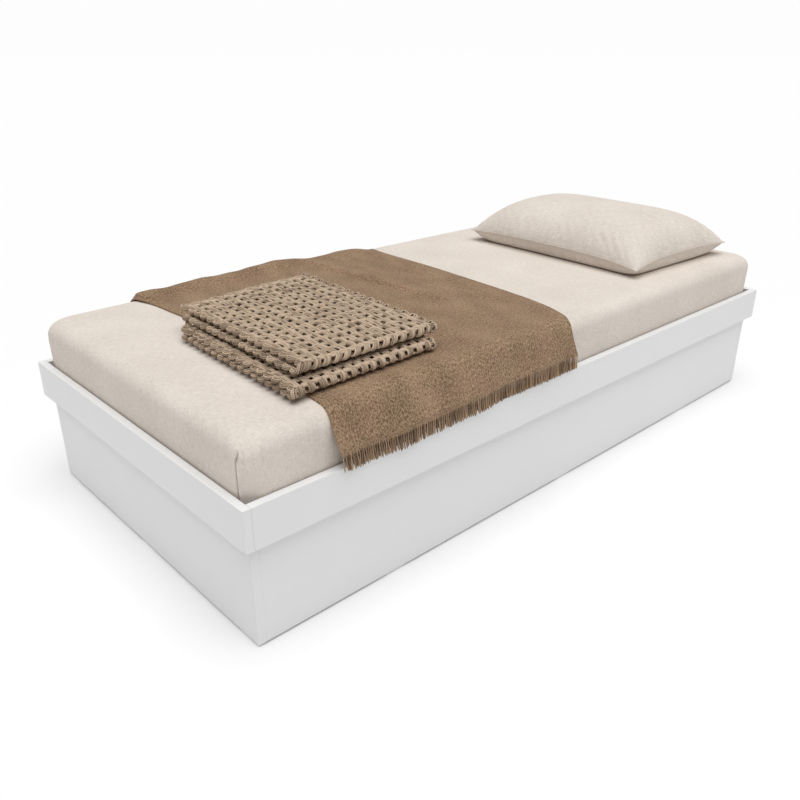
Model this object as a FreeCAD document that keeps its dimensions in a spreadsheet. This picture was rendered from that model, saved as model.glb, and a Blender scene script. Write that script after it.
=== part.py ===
# A single bed: a white panel case with a raised rim, a coil-sprung base inside the case, a mattress
# in its fitted sheet, and the bedding that lies on it. Millimetres.
# +X runs from the foot to the head, the near long side is at -Y and +Z is up.
# The origin is on the floor under the middle of the bed.
import FreeCAD
import Part
import Sketcher
import math
import os
import re

# Driving sizes. Every length of the bed is one of these or follows from them.
SIZES = {
    # mattress and fitted sheet
    "mattress_length": 1900,
    "mattress_width": 900,
    "mattress_height": 150,
    "mattress_gap": 2,
    "mattress_crown": 5,
    "mattress_corner_radius": 45,
    "mattress_top_radius": 34,
    "mattress_bottom_radius": 12,
    "sheet_thickness": 1.5,
    "cloth_ease": 0.3,
    # case boards
    "panel_thickness": 18,
    "panel_height": 254,
    "rim_thickness": 18,
    "rim_height": 90,
    "rim_lap": 28,
    "edge_break": 0.6,
    # floor glides
    "glide_height": 4,
    "glide_length": 60,
    "glide_side_inset": 2,
    "glide_end_inset": 3,
    "glide_setback": 352,
    # corner fittings
    "cam_diameter": 15,
    "cam_depth": 12.5,
    "cam_setback": 34,
    "cam_low_rise": 45,
    "cam_high_rise": 175,
    "rim_cam_rise": 60,
    "bolt_diameter": 6,
    "bolt_thread_diameter": 5,
    "bolt_thread_length": 11,
    "dowel_diameter": 8,
    "dowel_side_depth": 20,
    "dowel_end_depth": 11,
    "dowel_low_rise": 77,
    "dowel_high_rise": 207,
    "rim_dowel_rise": 22,
    "drill_ease": 0.1,
    "drill_end_gap": 1,
    # wood screws
    "screw_diameter": 4,
    "screw_head_diameter": 8,
    "screw_head_height": 2.4,
    "screw_tip_length": 4,
    "counterbore_diameter": 8.6,
    "counterbore_depth": 3,
    "panel_pilot_depth": 11,
    "rim_pilot_depth": 12,
    "ledge_pilot_depth": 18,
    "rim_screw_side_setback": 102,
    "rim_screw_end_setback": 92,
    "ledge_screw_setback": 92,
    # ledges, slats and centre beam
    "ledge_width": 30,
    "ledge_height": 40,
    "slat_width": 90,
    "slat_thickness": 22,
    "slat_setback": 79,
    "slat_end_gap": 2,
    "beam_width": 45,
    "beam_height": 60,
    "beam_end_gap": 1,
    "hanger_sheet": 2.5,
    "hanger_reach": 45,
    "hanger_rise": 40,
    "hanger_wing": 22,
    "hanger_screw_spread": 22,
    "leg_diameter": 46,
    "leg_foot_diameter": 40,
    "leg_setback": 374,
    "leg_stud_diameter": 8,
    "leg_stud_length": 28,
    "leg_pad_thickness": 3,
    # springs and spring deck
    "spring_wire": 4,
    "spring_height": 130,
    "spring_end_diameter": 80,
    "spring_waist_diameter": 52,
    "spring_setback": 54,
    "grid_wire": 4,
    "border_wire": 6,
    "pad_thickness": 12,
    "cover_thickness": 5,
    "deck_side_gap": 6,
    "seat_gap": 0.3,
    "sink_travel": 25,
    "sink_clear": 5.2,
    # pillow and pillowcase
    "pillow_length": 652,
    "pillow_width": 480,
    "pillow_height": 145,
    "pillow_end_inset": 16,
    "pillow_side_inset": 12,
    "pillow_edge_margin": 4,
    "pillow_ridge_rise": 8,
    "pillow_head_setback": 291,
    "pillow_place_y": -41,
    "pillowcase_thickness": 1.2,
    # throw
    "throw_thickness": 5,
    "throw_width": 865,
    "throw_foot_setback": 205,
    "throw_skew": 125,
    "throw_skew_reach": 420,
    "throw_fold_depth": 11,
    "flap_gap": 3.5,
    "flap_clear": 3,
    "hem_rise": 2,
    "hem_wave": 15,
    "fringe_length": 22,
    "fringe_thickness": 2,
    # folded blanket
    "blanket_width": 400,
    "blanket_length": 506,
    "blanket_layer": 12.4,
    "blanket_fold_gap": 1.2,
    "blanket_foot_setback": 378,
    "blanket_place_y": -120,
    # how far a cutting shape runs past what it cuts
    "overrun": 10,
}

# Counts and turns.
RIM_SCREWS_SIDE = 6
RIM_SCREWS_END = 4
LEDGE_SCREWS = 5
SLATS = 10
SPRING_COLUMNS = 5
SPRING_TURNS = 5
SPRING_SAMPLES_A_TURN = 40
BLANKET_LAYERS = 4
BEAM_LEGS = 3
SIDE_GLIDES = 3
THROW_FOLDS = 3
PILLOW_TURN_DEGREES = -2.3
BLANKET_TURN_DEGREES = -2.5

# Sizes that follow from the driving ones.
DERIVED = {
    "rim_inner_length": "mattress_length + 2 * mattress_gap",
    "rim_inner_width": "mattress_width + 2 * mattress_gap",
    "rim_outer_width": "rim_inner_width + 2 * rim_thickness",
    "case_inner_length": "rim_inner_length - 2 * panel_thickness",
    "case_inner_width": "rim_inner_width - 2 * panel_thickness",
    "rim_screw_side_pitch": f"(rim_inner_length - 2 * rim_screw_side_setback) / {RIM_SCREWS_SIDE - 1}",
    "rim_screw_end_pitch": f"(rim_inner_width - 2 * rim_screw_end_setback) / {RIM_SCREWS_END - 1}",
    "glide_pitch": f"(rim_inner_length - 2 * glide_setback) / {SIDE_GLIDES - 1}",
    "panel_top": "glide_height + panel_height",
    "rim_bottom": "panel_top - rim_lap",
    "rim_top": "rim_bottom + rim_height",
    "mattress_bottom": "panel_top + sink_travel + sink_clear",
    "mattress_top": "mattress_bottom + mattress_height",
    "cover_bottom": "mattress_bottom - cover_thickness",
    "pad_bottom": "cover_bottom - pad_thickness",
    "cross_wire_level": "pad_bottom - seat_gap - grid_wire / 2",
    "long_wire_level": "cross_wire_level - grid_wire - seat_gap",
    "spring_top": "long_wire_level - grid_wire / 2 - seat_gap",
    "spring_bottom": "spring_top - spring_height",
    "slat_top": "spring_bottom - seat_gap",
    "slat_level": "slat_top - slat_thickness",
    "ledge_length": "case_inner_length - 2 * slat_end_gap",
    "ledge_middle": "slat_level - ledge_height / 2",
    "ledge_screw_pitch": f"(ledge_length - 2 * ledge_screw_setback) / {LEDGE_SCREWS - 1}",
    "slat_pitch": f"(case_inner_length - 2 * slat_setback) / {SLATS - 1}",
    "spring_column_pitch": f"(case_inner_width - 2 * spring_setback) / {SPRING_COLUMNS - 1}",
    "slat_length": "case_inner_width - 2 * slat_end_gap",
    "beam_bottom": "slat_level - beam_height",
    "beam_length": "case_inner_length - 2 * hanger_sheet - 2 * beam_end_gap",
    "leg_pitch": f"(case_inner_length - 2 * leg_setback) / {BEAM_LEGS - 1}",
    "deck_length": "case_inner_length - 2 * deck_side_gap",
    "deck_width": "case_inner_width - 2 * deck_side_gap",
    "border_length": "deck_length - border_wire",
    "border_width": "deck_width - border_wire",
    "border_level": "(long_wire_level + cross_wire_level) / 2",
    "border_corner_radius": "spring_setback - deck_side_gap - border_wire / 2 - grid_wire",
    "long_wire_length": "border_length - border_wire - 2 * seat_gap",
    "cross_wire_length": "border_width - border_wire - 2 * seat_gap",
    "bolt_bore": "bolt_diameter + 2 * drill_ease",
    "thread_bore": "bolt_thread_diameter + 2 * drill_ease",
    "cam_bore": "cam_diameter + 2 * drill_ease",
    "dowel_bore": "dowel_diameter + 2 * drill_ease",
    "screw_bore": "screw_diameter + 2 * drill_ease",
    "stud_bore": "leg_stud_diameter + 2 * drill_ease",
    "rim_screw_row": "panel_height / 2 - rim_lap / 2",
    "rim_screw_line": "rim_lap / 2 - rim_height / 2",
    "pillow_place_x": "mattress_length / 2 - pillow_head_setback",
    "throw_foot_edge": "throw_foot_setback - mattress_length / 2",
    "throw_head_edge": "throw_foot_edge + throw_width",
    "blanket_place_x": "blanket_foot_setback - mattress_length / 2",
    "throw_underside": "mattress_top + cloth_ease",
    "throw_top": "throw_underside + throw_thickness",
    "flap_knee": "rim_top + sink_travel + flap_clear",
    "flap_line": "rim_outer_width / 2 + flap_gap",
    "hem_level": "rim_top + hem_rise",
    "fold_pitch": "blanket_layer + blanket_fold_gap",
    "fold_outer": "blanket_layer + blanket_fold_gap / 2",
}

# Pillow sections from the near end to the far end, as shares of its half length, width and height.
PILLOW_SEAM_SHARE = 0.3
PILLOW_REST_SHARE = 0.66

# The throw's hems from its foot edge to its head edge: how high each is lifted, as a share of the wave.
HEM_LIFT_SHARES = (1, 0.82, 0.62, 0.44, 0.28, 0.15, 0.06, 0, 0, 0.06, 0.14, 0.24, 0.34)
KNEE_FOLD_SHARE = 0.35

ENDS = {"foot": -1, "head": 1}
SIDES = {"near": -1, "far": 1}
Vector = FreeCAD.Vector
UP = Vector(0, 0, 1)

document = FreeCAD.newDocument("Bed")
sheet = document.addObject("Spreadsheet::Sheet", "Sizes")
for row, (alias, value) in enumerate(SIZES.items(), start=1):
    sheet.set(f"A{row}", alias)
    sheet.set(f"B{row}", str(value))
    sheet.setAlias(f"B{row}", alias)
document.recompute()

pieces = []


def formula(text):
    """Write a sum of named sizes out in cells of the sheet."""

    def cell(match):
        name = match.group()
        if name in DERIVED:
            return "(" + formula(DERIVED[name]) + ")"
        return "Sizes." + name

    return re.sub(r"[a-z_]+", cell, text)


def number(text):
    """The value of a sum of named sizes."""
    return float(sheet.evalExpression(formula(text)))


def bind(thing, prop, text):
    """Tie a property to a sum of named sizes."""
    thing.setExpression(prop, formula(text))


def place(thing, x="0", y="0", z="0"):
    """Tie a sub-part's place to sums of named sizes."""
    for axis, text in zip("xyz", (x, y, z)):
        if text != "0":
            bind(thing, "Placement.Base." + axis, text)


def sub_part(thing, label):
    """Give a sub-part the name that its file will have."""
    thing.Label = label
    pieces.append(thing)
    return thing


def even_places(count, pitch):
    """Places of equal pitch, centred on zero."""
    factors = [index - (count - 1) / 2 for index in range(count)]
    return [f"{factor} * {pitch}" if factor else "0" for factor in factors]


def shaped(label, shape):
    """A sub-part whose form is worked out by one of the functions below."""
    feature = document.addObject("Part::Feature", label)
    feature.Shape = shape
    return sub_part(feature, label)


# Sketched boards and their drillings


def new_sketch(body, name, plane, level="0"):
    """A sketch on one of the body's own planes, lifted along that plane's normal."""
    sketch = body.newObject("Sketcher::SketchObject", name)
    origin_plane = next(f for f in body.Origin.OriginFeatures if f.Role == plane)
    sketch.AttachmentSupport = [(origin_plane, "")]
    sketch.MapMode = "FlatFace"
    if level != "0":
        bind(sketch, "AttachmentOffset.Base.z", level)
    return sketch


def hold(sketch, constraint, text):
    """Add a constraint whose value is tied to a sum of named sizes."""
    index = sketch.addConstraint(constraint)
    bind(sketch, f"Constraints[{index}]", text)


def rectangle(sketch, width, height):
    """Draw a rectangle centred on the sketch's origin."""
    half_width = number(width) / 2
    half_height = number(height) / 2
    corners = [
        Vector(-half_width, -half_height, 0),
        Vector(half_width, -half_height, 0),
        Vector(half_width, half_height, 0),
        Vector(-half_width, half_height, 0),
    ]
    for index in range(4):
        sketch.addGeometry(Part.LineSegment(corners[index], corners[(index + 1) % 4]))
    for index in range(4):
        sketch.addConstraint(Sketcher.Constraint("Coincident", index, 2, (index + 1) % 4, 1))
        direction = "Vertical" if index % 2 else "Horizontal"
        sketch.addConstraint(Sketcher.Constraint(direction, index))
    sketch.addConstraint(Sketcher.Constraint("Symmetric", 0, 1, 1, 2, -1, 1))
    hold(sketch, Sketcher.Constraint("DistanceX", 0, 1, 0, 2, 2 * half_width), width)
    hold(sketch, Sketcher.Constraint("DistanceY", 1, 1, 1, 2, 2 * half_height), height)


def circles(sketch, spots, diameter):
    """Draw circles of one diameter at spots given across and up the sketch."""
    for index, (across, up) in enumerate(spots):
        centre = Vector(number(across), number(up), 0)
        sketch.addGeometry(Part.Circle(centre, UP, number(diameter) / 2))
        for kind, distance, axis in (("DistanceX", across, -2), ("DistanceY", up, -1)):
            if distance == "0":
                sketch.addConstraint(Sketcher.Constraint("PointOnObject", index, 3, axis))
            else:
                hold(sketch, Sketcher.Constraint(kind, -1, 1, index, 3, number(distance)), distance)
        hold(sketch, Sketcher.Constraint("Diameter", index, number(diameter)), diameter)


def board(label, plane, width, height, thickness, broken_edges=True):
    """A rectangular board centred on its own origin, square to the plane it is drawn on."""
    body = document.addObject("PartDesign::Body", label)
    outline = new_sketch(body, label + "_outline", plane)
    rectangle(outline, width, height)
    pad = body.newObject("PartDesign::Pad", label + "_pad")
    pad.Profile = outline
    pad.SideType = "Symmetric"
    bind(pad, "Length", thickness)
    outline.Visibility = False
    document.recompute()
    if broken_edges:
        chamfer = body.newObject("PartDesign::Chamfer", label + "_edges")
        chamfer.Base = (pad, [f"Edge{index}" for index in range(1, 13)])
        bind(chamfer, "Size", "edge_break")
        document.recompute()
    return sub_part(body, label)


def drill(body, name, plane, level, heading, spots, diameter, depth):
    """Drill a set of holes from a level along the plane's normal, heading up (1) or down (-1) it."""
    sketch = new_sketch(body, body.Label + "_" + name + "_spots", plane, level)
    circles(sketch, spots, diameter)
    pocket = body.newObject("PartDesign::Pocket", body.Label + "_" + name)
    pocket.Profile = sketch
    pocket.Reversed = heading > 0
    bind(pocket, "Length", depth)
    sketch.Visibility = False
    before = body.Shape.Volume
    document.recompute()
    if not body.Shape.Volume < before:
        raise RuntimeError(f"{body.Label}: {name} cuts nothing")


def screw_holes(body, name, plane, inner, thickness, spots):
    """Clearance holes through a board, with counterbores on its inner face."""
    face = f"{inner} * {thickness} / 2"
    drill(body, name + "_holes", plane, face, -inner, spots, "screw_bore", thickness)
    drill(body, name + "_seats", plane, face, -inner, spots, "counterbore_diameter", "counterbore_depth")


# Case and rim

CASE_CAM_RISES = ("cam_low_rise", "cam_high_rise")
CASE_DOWEL_RISES = ("dowel_low_rise", "dowel_high_rise")


def corner_drillings(body, length, height, inner, thickness, cam_rises, dowel_rises):
    """Drill the ends of a long board for cam locks, their bolts and dowels."""
    cams = [
        (f"{end} * ({length} / 2 - cam_setback)", f"{rise} - {height} / 2")
        for end in ENDS.values()
        for rise in cam_rises
    ]
    drill(body, "cam_seats", "XZ_Plane", f"{inner} * {thickness} / 2", -inner, cams, "cam_bore", "cam_depth")
    bolts = [("0", f"{rise} - {height} / 2") for rise in cam_rises]
    dowels = [("0", f"{rise} - {height} / 2") for rise in dowel_rises]
    dowel_depth = "dowel_side_depth + drill_end_gap"
    for name, end in ENDS.items():
        level = f"{end} * {length} / 2"
        drill(body, name + "_bolt_bores", "YZ_Plane", level, -end, bolts, "bolt_bore", "cam_setback")
        drill(body, name + "_dowel_bores", "YZ_Plane", level, -end, dowels, "dowel_bore", dowel_depth)


def end_drillings(body, across, height, inner, thickness, cam_rises, dowel_rises):
    """Drill an end board's inner face for the bolts and dowels of both long boards."""
    face = f"{inner} * {thickness} / 2"

    def joint_spots(rises):
        return [(f"{side} * {across}", f"{rise} - {height} / 2") for side in SIDES.values() for rise in rises]

    bolts = joint_spots(cam_rises)
    dowels = joint_spots(dowel_rises)
    bolt_depth = "bolt_thread_length + drill_end_gap"
    drill(body, "bolt_bores", "YZ_Plane", face, -inner, bolts, "thread_bore", bolt_depth)
    dowel_depth = "dowel_end_depth + drill_end_gap"
    drill(body, "dowel_bores", "YZ_Plane", face, -inner, dowels, "dowel_bore", dowel_depth)


def build_side_panel(name, side):
    """A long board of the lower case."""
    panel = board(name + "_panel", "XZ_Plane", "case_inner_length", "panel_height", "panel_thickness")
    corner_drillings(
        panel, "case_inner_length", "panel_height", side, "panel_thickness", CASE_CAM_RISES, CASE_DOWEL_RISES
    )
    rim_spots = [(x, "rim_screw_row") for x in even_places(RIM_SCREWS_SIDE, "rim_screw_side_pitch")]
    screw_holes(panel, "rim_screw", "XZ_Plane", side, "panel_thickness", rim_spots)
    ledge_line = "ledge_middle - glide_height - panel_height / 2"
    pilots = [(x, ledge_line) for x in even_places(LEDGE_SCREWS, "ledge_screw_pitch")]
    face = f"{side} * panel_thickness / 2"
    drill(panel, "ledge_pilots", "XZ_Plane", face, -side, pilots, "screw_bore", "panel_pilot_depth")
    middle = f"{side} * (rim_inner_width - panel_thickness) / 2"
    place(panel, y=middle, z="glide_height + panel_height / 2")


def build_end_panel(name, end):
    """A short board of the lower case, which covers the ends of the long ones."""
    panel = board(name + "_panel", "YZ_Plane", "rim_inner_width", "panel_height", "panel_thickness")
    across = "(rim_inner_width - panel_thickness) / 2"
    end_drillings(panel, across, "panel_height", -end, "panel_thickness", CASE_CAM_RISES, CASE_DOWEL_RISES)
    rim_spots = [(y, "rim_screw_row") for y in even_places(RIM_SCREWS_END, "rim_screw_end_pitch")]
    screw_holes(panel, "rim_screw", "YZ_Plane", -end, "panel_thickness", rim_spots)
    pilots = [(y, f"({z}) - glide_height - panel_height / 2") for y, z in hanger_screw_spots()]
    face = f"{-end} * panel_thickness / 2"
    drill(panel, "hanger_pilots", "YZ_Plane", face, end, pilots, "screw_bore", "panel_pilot_depth")
    middle = f"{end} * (rim_inner_length - panel_thickness) / 2"
    place(panel, x=middle, z="glide_height + panel_height / 2")


def build_side_rim(name, side):
    """A long board of the rim."""
    rim = board(name + "_rim", "XZ_Plane", "rim_inner_length", "rim_height", "rim_thickness")
    corner_drillings(
        rim, "rim_inner_length", "rim_height", side, "rim_thickness", ("rim_cam_rise",), ("rim_dowel_rise",)
    )
    spots = [(x, "rim_screw_line") for x in even_places(RIM_SCREWS_SIDE, "rim_screw_side_pitch")]
    face = f"{side} * rim_thickness / 2"
    drill(rim, "rim_pilots", "XZ_Plane", face, -side, spots, "screw_bore", "rim_pilot_depth")
    place(rim, y=f"{side} * (rim_inner_width + rim_thickness) / 2", z="rim_bottom + rim_height / 2")


def build_end_rim(name, end):
    """A short board of the rim, which covers the ends of the long ones."""
    rim = board(name + "_rim", "YZ_Plane", "rim_outer_width", "rim_height", "rim_thickness")
    across = "(rim_inner_width + rim_thickness) / 2"
    end_drillings(rim, across, "rim_height", -end, "rim_thickness", ("rim_cam_rise",), ("rim_dowel_rise",))
    spots = [(y, "rim_screw_line") for y in even_places(RIM_SCREWS_END, "rim_screw_end_pitch")]
    face = f"{-end} * rim_thickness / 2"
    drill(rim, "rim_pilots", "YZ_Plane", face, end, spots, "screw_bore", "rim_pilot_depth")
    place(rim, x=f"{end} * (rim_inner_length + rim_thickness) / 2", z="rim_bottom + rim_height / 2")


# Supports inside the case


def hanger_screw_spots():
    """Across and height of the screws that hold one beam hanger."""
    across = "(beam_width / 2 + hanger_sheet + hanger_wing / 2)"
    return [
        (f"{side} * {across}", f"ledge_middle + {step} * hanger_screw_spread / 2")
        for side in SIDES.values()
        for step in (-1, 1)
    ]


def build_ledge(name, side):
    """A batten along a long board that carries the slat ends."""
    ledge = board(name + "_ledge", "XZ_Plane", "ledge_length", "ledge_height", "ledge_width")
    spots = [(x, "0") for x in even_places(LEDGE_SCREWS, "ledge_screw_pitch")]
    screw_holes(ledge, "panel_screw", "XZ_Plane", side, "ledge_width", spots)
    pilots = [(x, "0") for x in even_places(SLATS, "slat_pitch")]
    drill(ledge, "slat_pilots", "XY_Plane", "ledge_height / 2", -1, pilots, "screw_bore", "ledge_pilot_depth")
    place(ledge, y=f"{side} * (case_inner_width - ledge_width) / 2", z="ledge_middle")


def build_slats():
    """The slats that carry the springs, screwed to both ledges."""
    seats = [("0", f"{side} * (case_inner_width - ledge_width) / 2") for side in SIDES.values()]
    for index, x in enumerate(even_places(SLATS, "slat_pitch"), start=1):
        slat = board(f"base_slat_{index:02d}", "XY_Plane", "slat_width", "slat_length", "slat_thickness")
        screw_holes(slat, "ledge_screw", "XY_Plane", 1, "slat_thickness", seats)
        place(slat, x=x, z="slat_level + slat_thickness / 2")


def build_beam():
    """The beam under the middle of the slats, drilled for its leg studs."""
    beam = board("centre_beam", "XZ_Plane", "beam_length", "beam_height", "beam_width")
    spots = [(x, "0") for x in even_places(BEAM_LEGS, "leg_pitch")]
    depth = "leg_stud_length + drill_end_gap"
    drill(beam, "stud_bores", "XY_Plane", "-beam_height / 2", 1, spots, "stud_bore", depth)
    place(beam, z="slat_level - beam_height / 2")


def box(x_span, y_span, z_span):
    """A box between pairs of numbers along each axis."""
    corner = Vector(x_span[0], y_span[0], z_span[0])
    return Part.makeBox(x_span[1] - x_span[0], y_span[1] - y_span[0], z_span[1] - z_span[0], corner)


def build_hangers():
    """Two bent sheet hangers that hold the beam's ends to the end boards."""
    metal = number("hanger_sheet")
    face = number("case_inner_length / 2")
    reach = number("hanger_reach")
    half_beam = number("beam_width / 2")
    half_wing = half_beam + metal + number("hanger_wing")
    low = number("beam_bottom") - metal
    high = number("beam_bottom + hanger_rise")
    wing_span = (number("ledge_middle - hanger_screw_spread"), number("ledge_middle + hanger_screw_spread"))
    inner = face - metal
    back = box((inner, face), (-half_wing, half_wing), (min(low, wing_span[0]), max(high, wing_span[1])))
    floor = box((inner - reach, inner), (-half_beam - metal, half_beam + metal), (low, low + metal))
    cheeks = [
        box((inner - reach, inner), sorted((side * half_beam, side * (half_beam + metal))), (low, high))
        for side in SIDES.values()
    ]
    hanger = back.multiFuse([floor] + cheeks).removeSplitter()
    bore_length = number("hanger_sheet + 2 * overrun")
    for across, height in hanger_screw_spots():
        start = Vector(inner - number("overrun"), number(across), number(height))
        hanger = hanger.cut(Part.makeCylinder(number("screw_bore / 2"), bore_length, start, Vector(1, 0, 0)))
    opposite = hanger.mirror(Vector(0, 0, 0), Vector(1, 0, 0))
    shaped("beam_hangers", Part.makeCompound([hanger, opposite]))


def build_legs():
    """Turned legs under the beam, each with its stud, and the felt pads they stand on."""
    foot = number("leg_pad_thickness")
    height = number("beam_bottom") - foot
    foot_radius = number("leg_foot_diameter / 2")
    stud_radius = number("leg_stud_diameter / 2")
    legs = []
    pads = []
    for text in even_places(BEAM_LEGS, "leg_pitch"):
        x = number(text)
        cone = Part.makeCone(foot_radius, number("leg_diameter / 2"), height, Vector(x, 0, foot))
        stud = Part.makeCylinder(stud_radius, number("leg_stud_length"), Vector(x, 0, foot + height))
        legs.append(cone.fuse(stud))
        pads.append(Part.makeCylinder(foot_radius, foot, Vector(x, 0, 0)))
    shaped("beam_legs", Part.makeCompound(legs))
    shaped("leg_pads", Part.makeCompound(pads))


def build_glides():
    """Plastic glides under the corners, the sides and the middles of the ends."""
    thickness = number("panel_thickness")
    width = thickness - number("2 * glide_side_inset")
    length = number("glide_length")
    height = number("glide_height")
    end_line = number("(rim_inner_length - panel_thickness) / 2")
    side_line = number("(rim_inner_width - panel_thickness) / 2")
    corner = number("rim_inner_width / 2 - glide_end_inset - glide_length / 2")
    glides = []
    for end in ENDS.values():
        for y in (-corner, 0, corner):
            start = Vector(end * end_line - width / 2, y - length / 2, 0)
            glides.append(Part.makeBox(width, length, height, start))
    for side in SIDES.values():
        for text in even_places(SIDE_GLIDES, "glide_pitch"):
            start = Vector(number(text) - length / 2, side * side_line - width / 2, 0)
            glides.append(Part.makeBox(length, width, height, start))
    shaped("floor_glides", Part.makeCompound(glides))


# Fasteners


def corner_fittings():
    """Each corner joint as the long board's end, the way out of it, the joint line and its rises."""
    for end in ENDS.values():
        for side in SIDES.values():
            case_line = number("(rim_inner_width - panel_thickness) / 2")
            rim_line = number("(rim_inner_width + rim_thickness) / 2")
            case_end = Vector(end * number("case_inner_length / 2"), side * case_line, number("glide_height"))
            rim_end = Vector(end * number("rim_inner_length / 2"), side * rim_line, number("rim_bottom"))
            yield end, side, case_end, "panel_thickness", CASE_CAM_RISES, CASE_DOWEL_RISES
            yield end, side, rim_end, "rim_thickness", ("rim_cam_rise",), ("rim_dowel_rise",)


def cam_lock(centre, end, side, face):
    """A round cam with the radial slot that takes the bolt's end."""
    inner_face = Vector(centre.x, face, centre.z)
    cam = Part.makeCylinder(number("cam_diameter / 2"), number("cam_depth"), inner_face, Vector(0, side, 0))
    slot_length = number("cam_diameter / 2 + overrun")
    slot_start = centre - Vector(end * number("drill_ease"), 0, 0)
    slot = Part.makeCylinder(number("bolt_bore / 2"), slot_length, slot_start, Vector(end, 0, 0))
    return cam.cut(slot)


def cam_bolt(joint, end):
    """A bolt screwed into the end board, with its plain end in the cam."""
    outward = Vector(end, 0, 0)
    reach = number("cam_setback")
    thread_radius = number("bolt_thread_diameter / 2")
    plain = Part.makeCylinder(number("bolt_diameter / 2"), reach, joint - outward * reach, outward)
    thread = Part.makeCylinder(thread_radius, number("bolt_thread_length"), joint, outward)
    return plain.fuse(thread)


def dowel(joint, end):
    """A beech dowel across a corner joint."""
    start = joint - Vector(end * number("dowel_side_depth"), 0, 0)
    length = number("dowel_side_depth + dowel_end_depth")
    return Part.makeCylinder(number("dowel_diameter / 2"), length, start, Vector(end, 0, 0))


def build_corner_fittings():
    """Cam locks, bolts and dowels of all the corner joints."""
    cams = []
    bolts = []
    dowels = []
    for end, side, board_end, thickness, cam_rises, dowel_rises in corner_fittings():
        face = board_end.y - side * number(thickness) / 2
        for rise in cam_rises:
            joint = board_end + UP * number(rise)
            centre = joint - Vector(end * number("cam_setback"), 0, 0)
            cams.append(cam_lock(centre, end, side, face))
            bolts.append(cam_bolt(joint, end))
        for rise in dowel_rises:
            dowels.append(dowel(board_end + UP * number(rise), end))
    shaped("cam_locks", Part.makeCompound(cams))
    shaped("cam_bolts", Part.makeCompound(bolts))
    shaped("corner_dowels", Part.makeCompound(dowels))


def wood_screw(seat, heading, length):
    """A screw with its head's underside at the seat, pointing along the heading."""
    shank = length - number("screw_tip_length")
    radius = number("screw_diameter / 2")
    head_height = number("screw_head_height")
    head_radius = number("screw_head_diameter / 2")
    head = Part.makeCylinder(head_radius, head_height, seat - heading * head_height, heading)
    stem = Part.makeCylinder(radius, shank, seat, heading)
    tip = Part.makeCone(radius, 0, number("screw_tip_length"), seat + heading * shank, heading)
    return head.multiFuse([stem, tip])


def build_screws():
    """The screws of the rim, the ledges, the slats and the beam hangers."""
    sunk = number("counterbore_depth")
    rim_length = number("panel_thickness - counterbore_depth + rim_pilot_depth - drill_end_gap")
    ledge_screw_length = number("ledge_width - counterbore_depth + panel_pilot_depth - drill_end_gap")
    slat_screw_length = number("slat_thickness - counterbore_depth + ledge_pilot_depth - drill_end_gap")
    hanger_length = number("hanger_sheet + panel_pilot_depth - drill_end_gap")
    rim_height = number("rim_bottom + rim_lap / 2")
    rim_screws = []
    ledge_screws = []
    slat_screws = []
    hanger_screws = []
    for side in SIDES.values():
        outward = Vector(0, side, 0)
        panel_seat = side * (number("case_inner_width / 2") + sunk)
        for text in even_places(RIM_SCREWS_SIDE, "rim_screw_side_pitch"):
            rim_screws.append(wood_screw(Vector(number(text), panel_seat, rim_height), outward, rim_length))
        ledge_seat = side * (number("case_inner_width / 2 - ledge_width") + sunk)
        for text in even_places(LEDGE_SCREWS, "ledge_screw_pitch"):
            seat = Vector(number(text), ledge_seat, number("ledge_middle"))
            ledge_screws.append(wood_screw(seat, outward, ledge_screw_length))
        slat_line = side * number("(case_inner_width - ledge_width) / 2")
        for text in even_places(SLATS, "slat_pitch"):
            seat = Vector(number(text), slat_line, number("slat_top") - sunk)
            slat_screws.append(wood_screw(seat, -UP, slat_screw_length))
    for end in ENDS.values():
        outward = Vector(end, 0, 0)
        panel_seat = end * (number("case_inner_length / 2") + sunk)
        for text in even_places(RIM_SCREWS_END, "rim_screw_end_pitch"):
            rim_screws.append(wood_screw(Vector(panel_seat, number(text), rim_height), outward, rim_length))
        hanger_seat = end * number("case_inner_length / 2 - hanger_sheet")
        for across, height in hanger_screw_spots():
            seat = Vector(hanger_seat, number(across), number(height))
            hanger_screws.append(wood_screw(seat, outward, hanger_length))
    shaped("rim_screws", Part.makeCompound(rim_screws))
    shaped("ledge_screws", Part.makeCompound(ledge_screws))
    shaped("slat_screws", Part.makeCompound(slat_screws))
    shaped("hanger_screws", Part.makeCompound(hanger_screws))


# Coil springs


def coil_point(turn):
    """Centre line of a waisted spring at a number of turns from its foot."""
    share = turn / SPRING_TURNS
    waist = number("spring_waist_diameter / 2")
    radius = waist + (number("spring_end_diameter / 2") - waist) * (2 * share - 1) ** 2
    rise = number("spring_height - spring_wire") * (share - math.sin(2 * math.pi * share) / (2 * math.pi))
    angle = 2 * math.pi * turn
    return Vector(radius * math.cos(angle), radius * math.sin(angle), rise + number("spring_wire / 2"))


def coil_heading(turn):
    """Direction of the centre line there, as the chord of a very short stretch."""
    step = SPRING_TURNS / 100000
    return (coil_point(turn + step) - coil_point(turn - step)).normalize()


def tangent_arc(start, heading, finish):
    """The arc from start to finish that leaves start along the heading."""
    chord = finish - start
    along = Vector(chord).normalize()
    aside = heading - along * heading.dot(along)
    half_turn = math.atan2(aside.Length, heading.dot(along))
    middle = start + chord * 0.5 + aside.normalize() * (chord.Length / 2 * math.tan(half_turn / 2))
    return Part.Arc(start, middle, finish)


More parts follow.
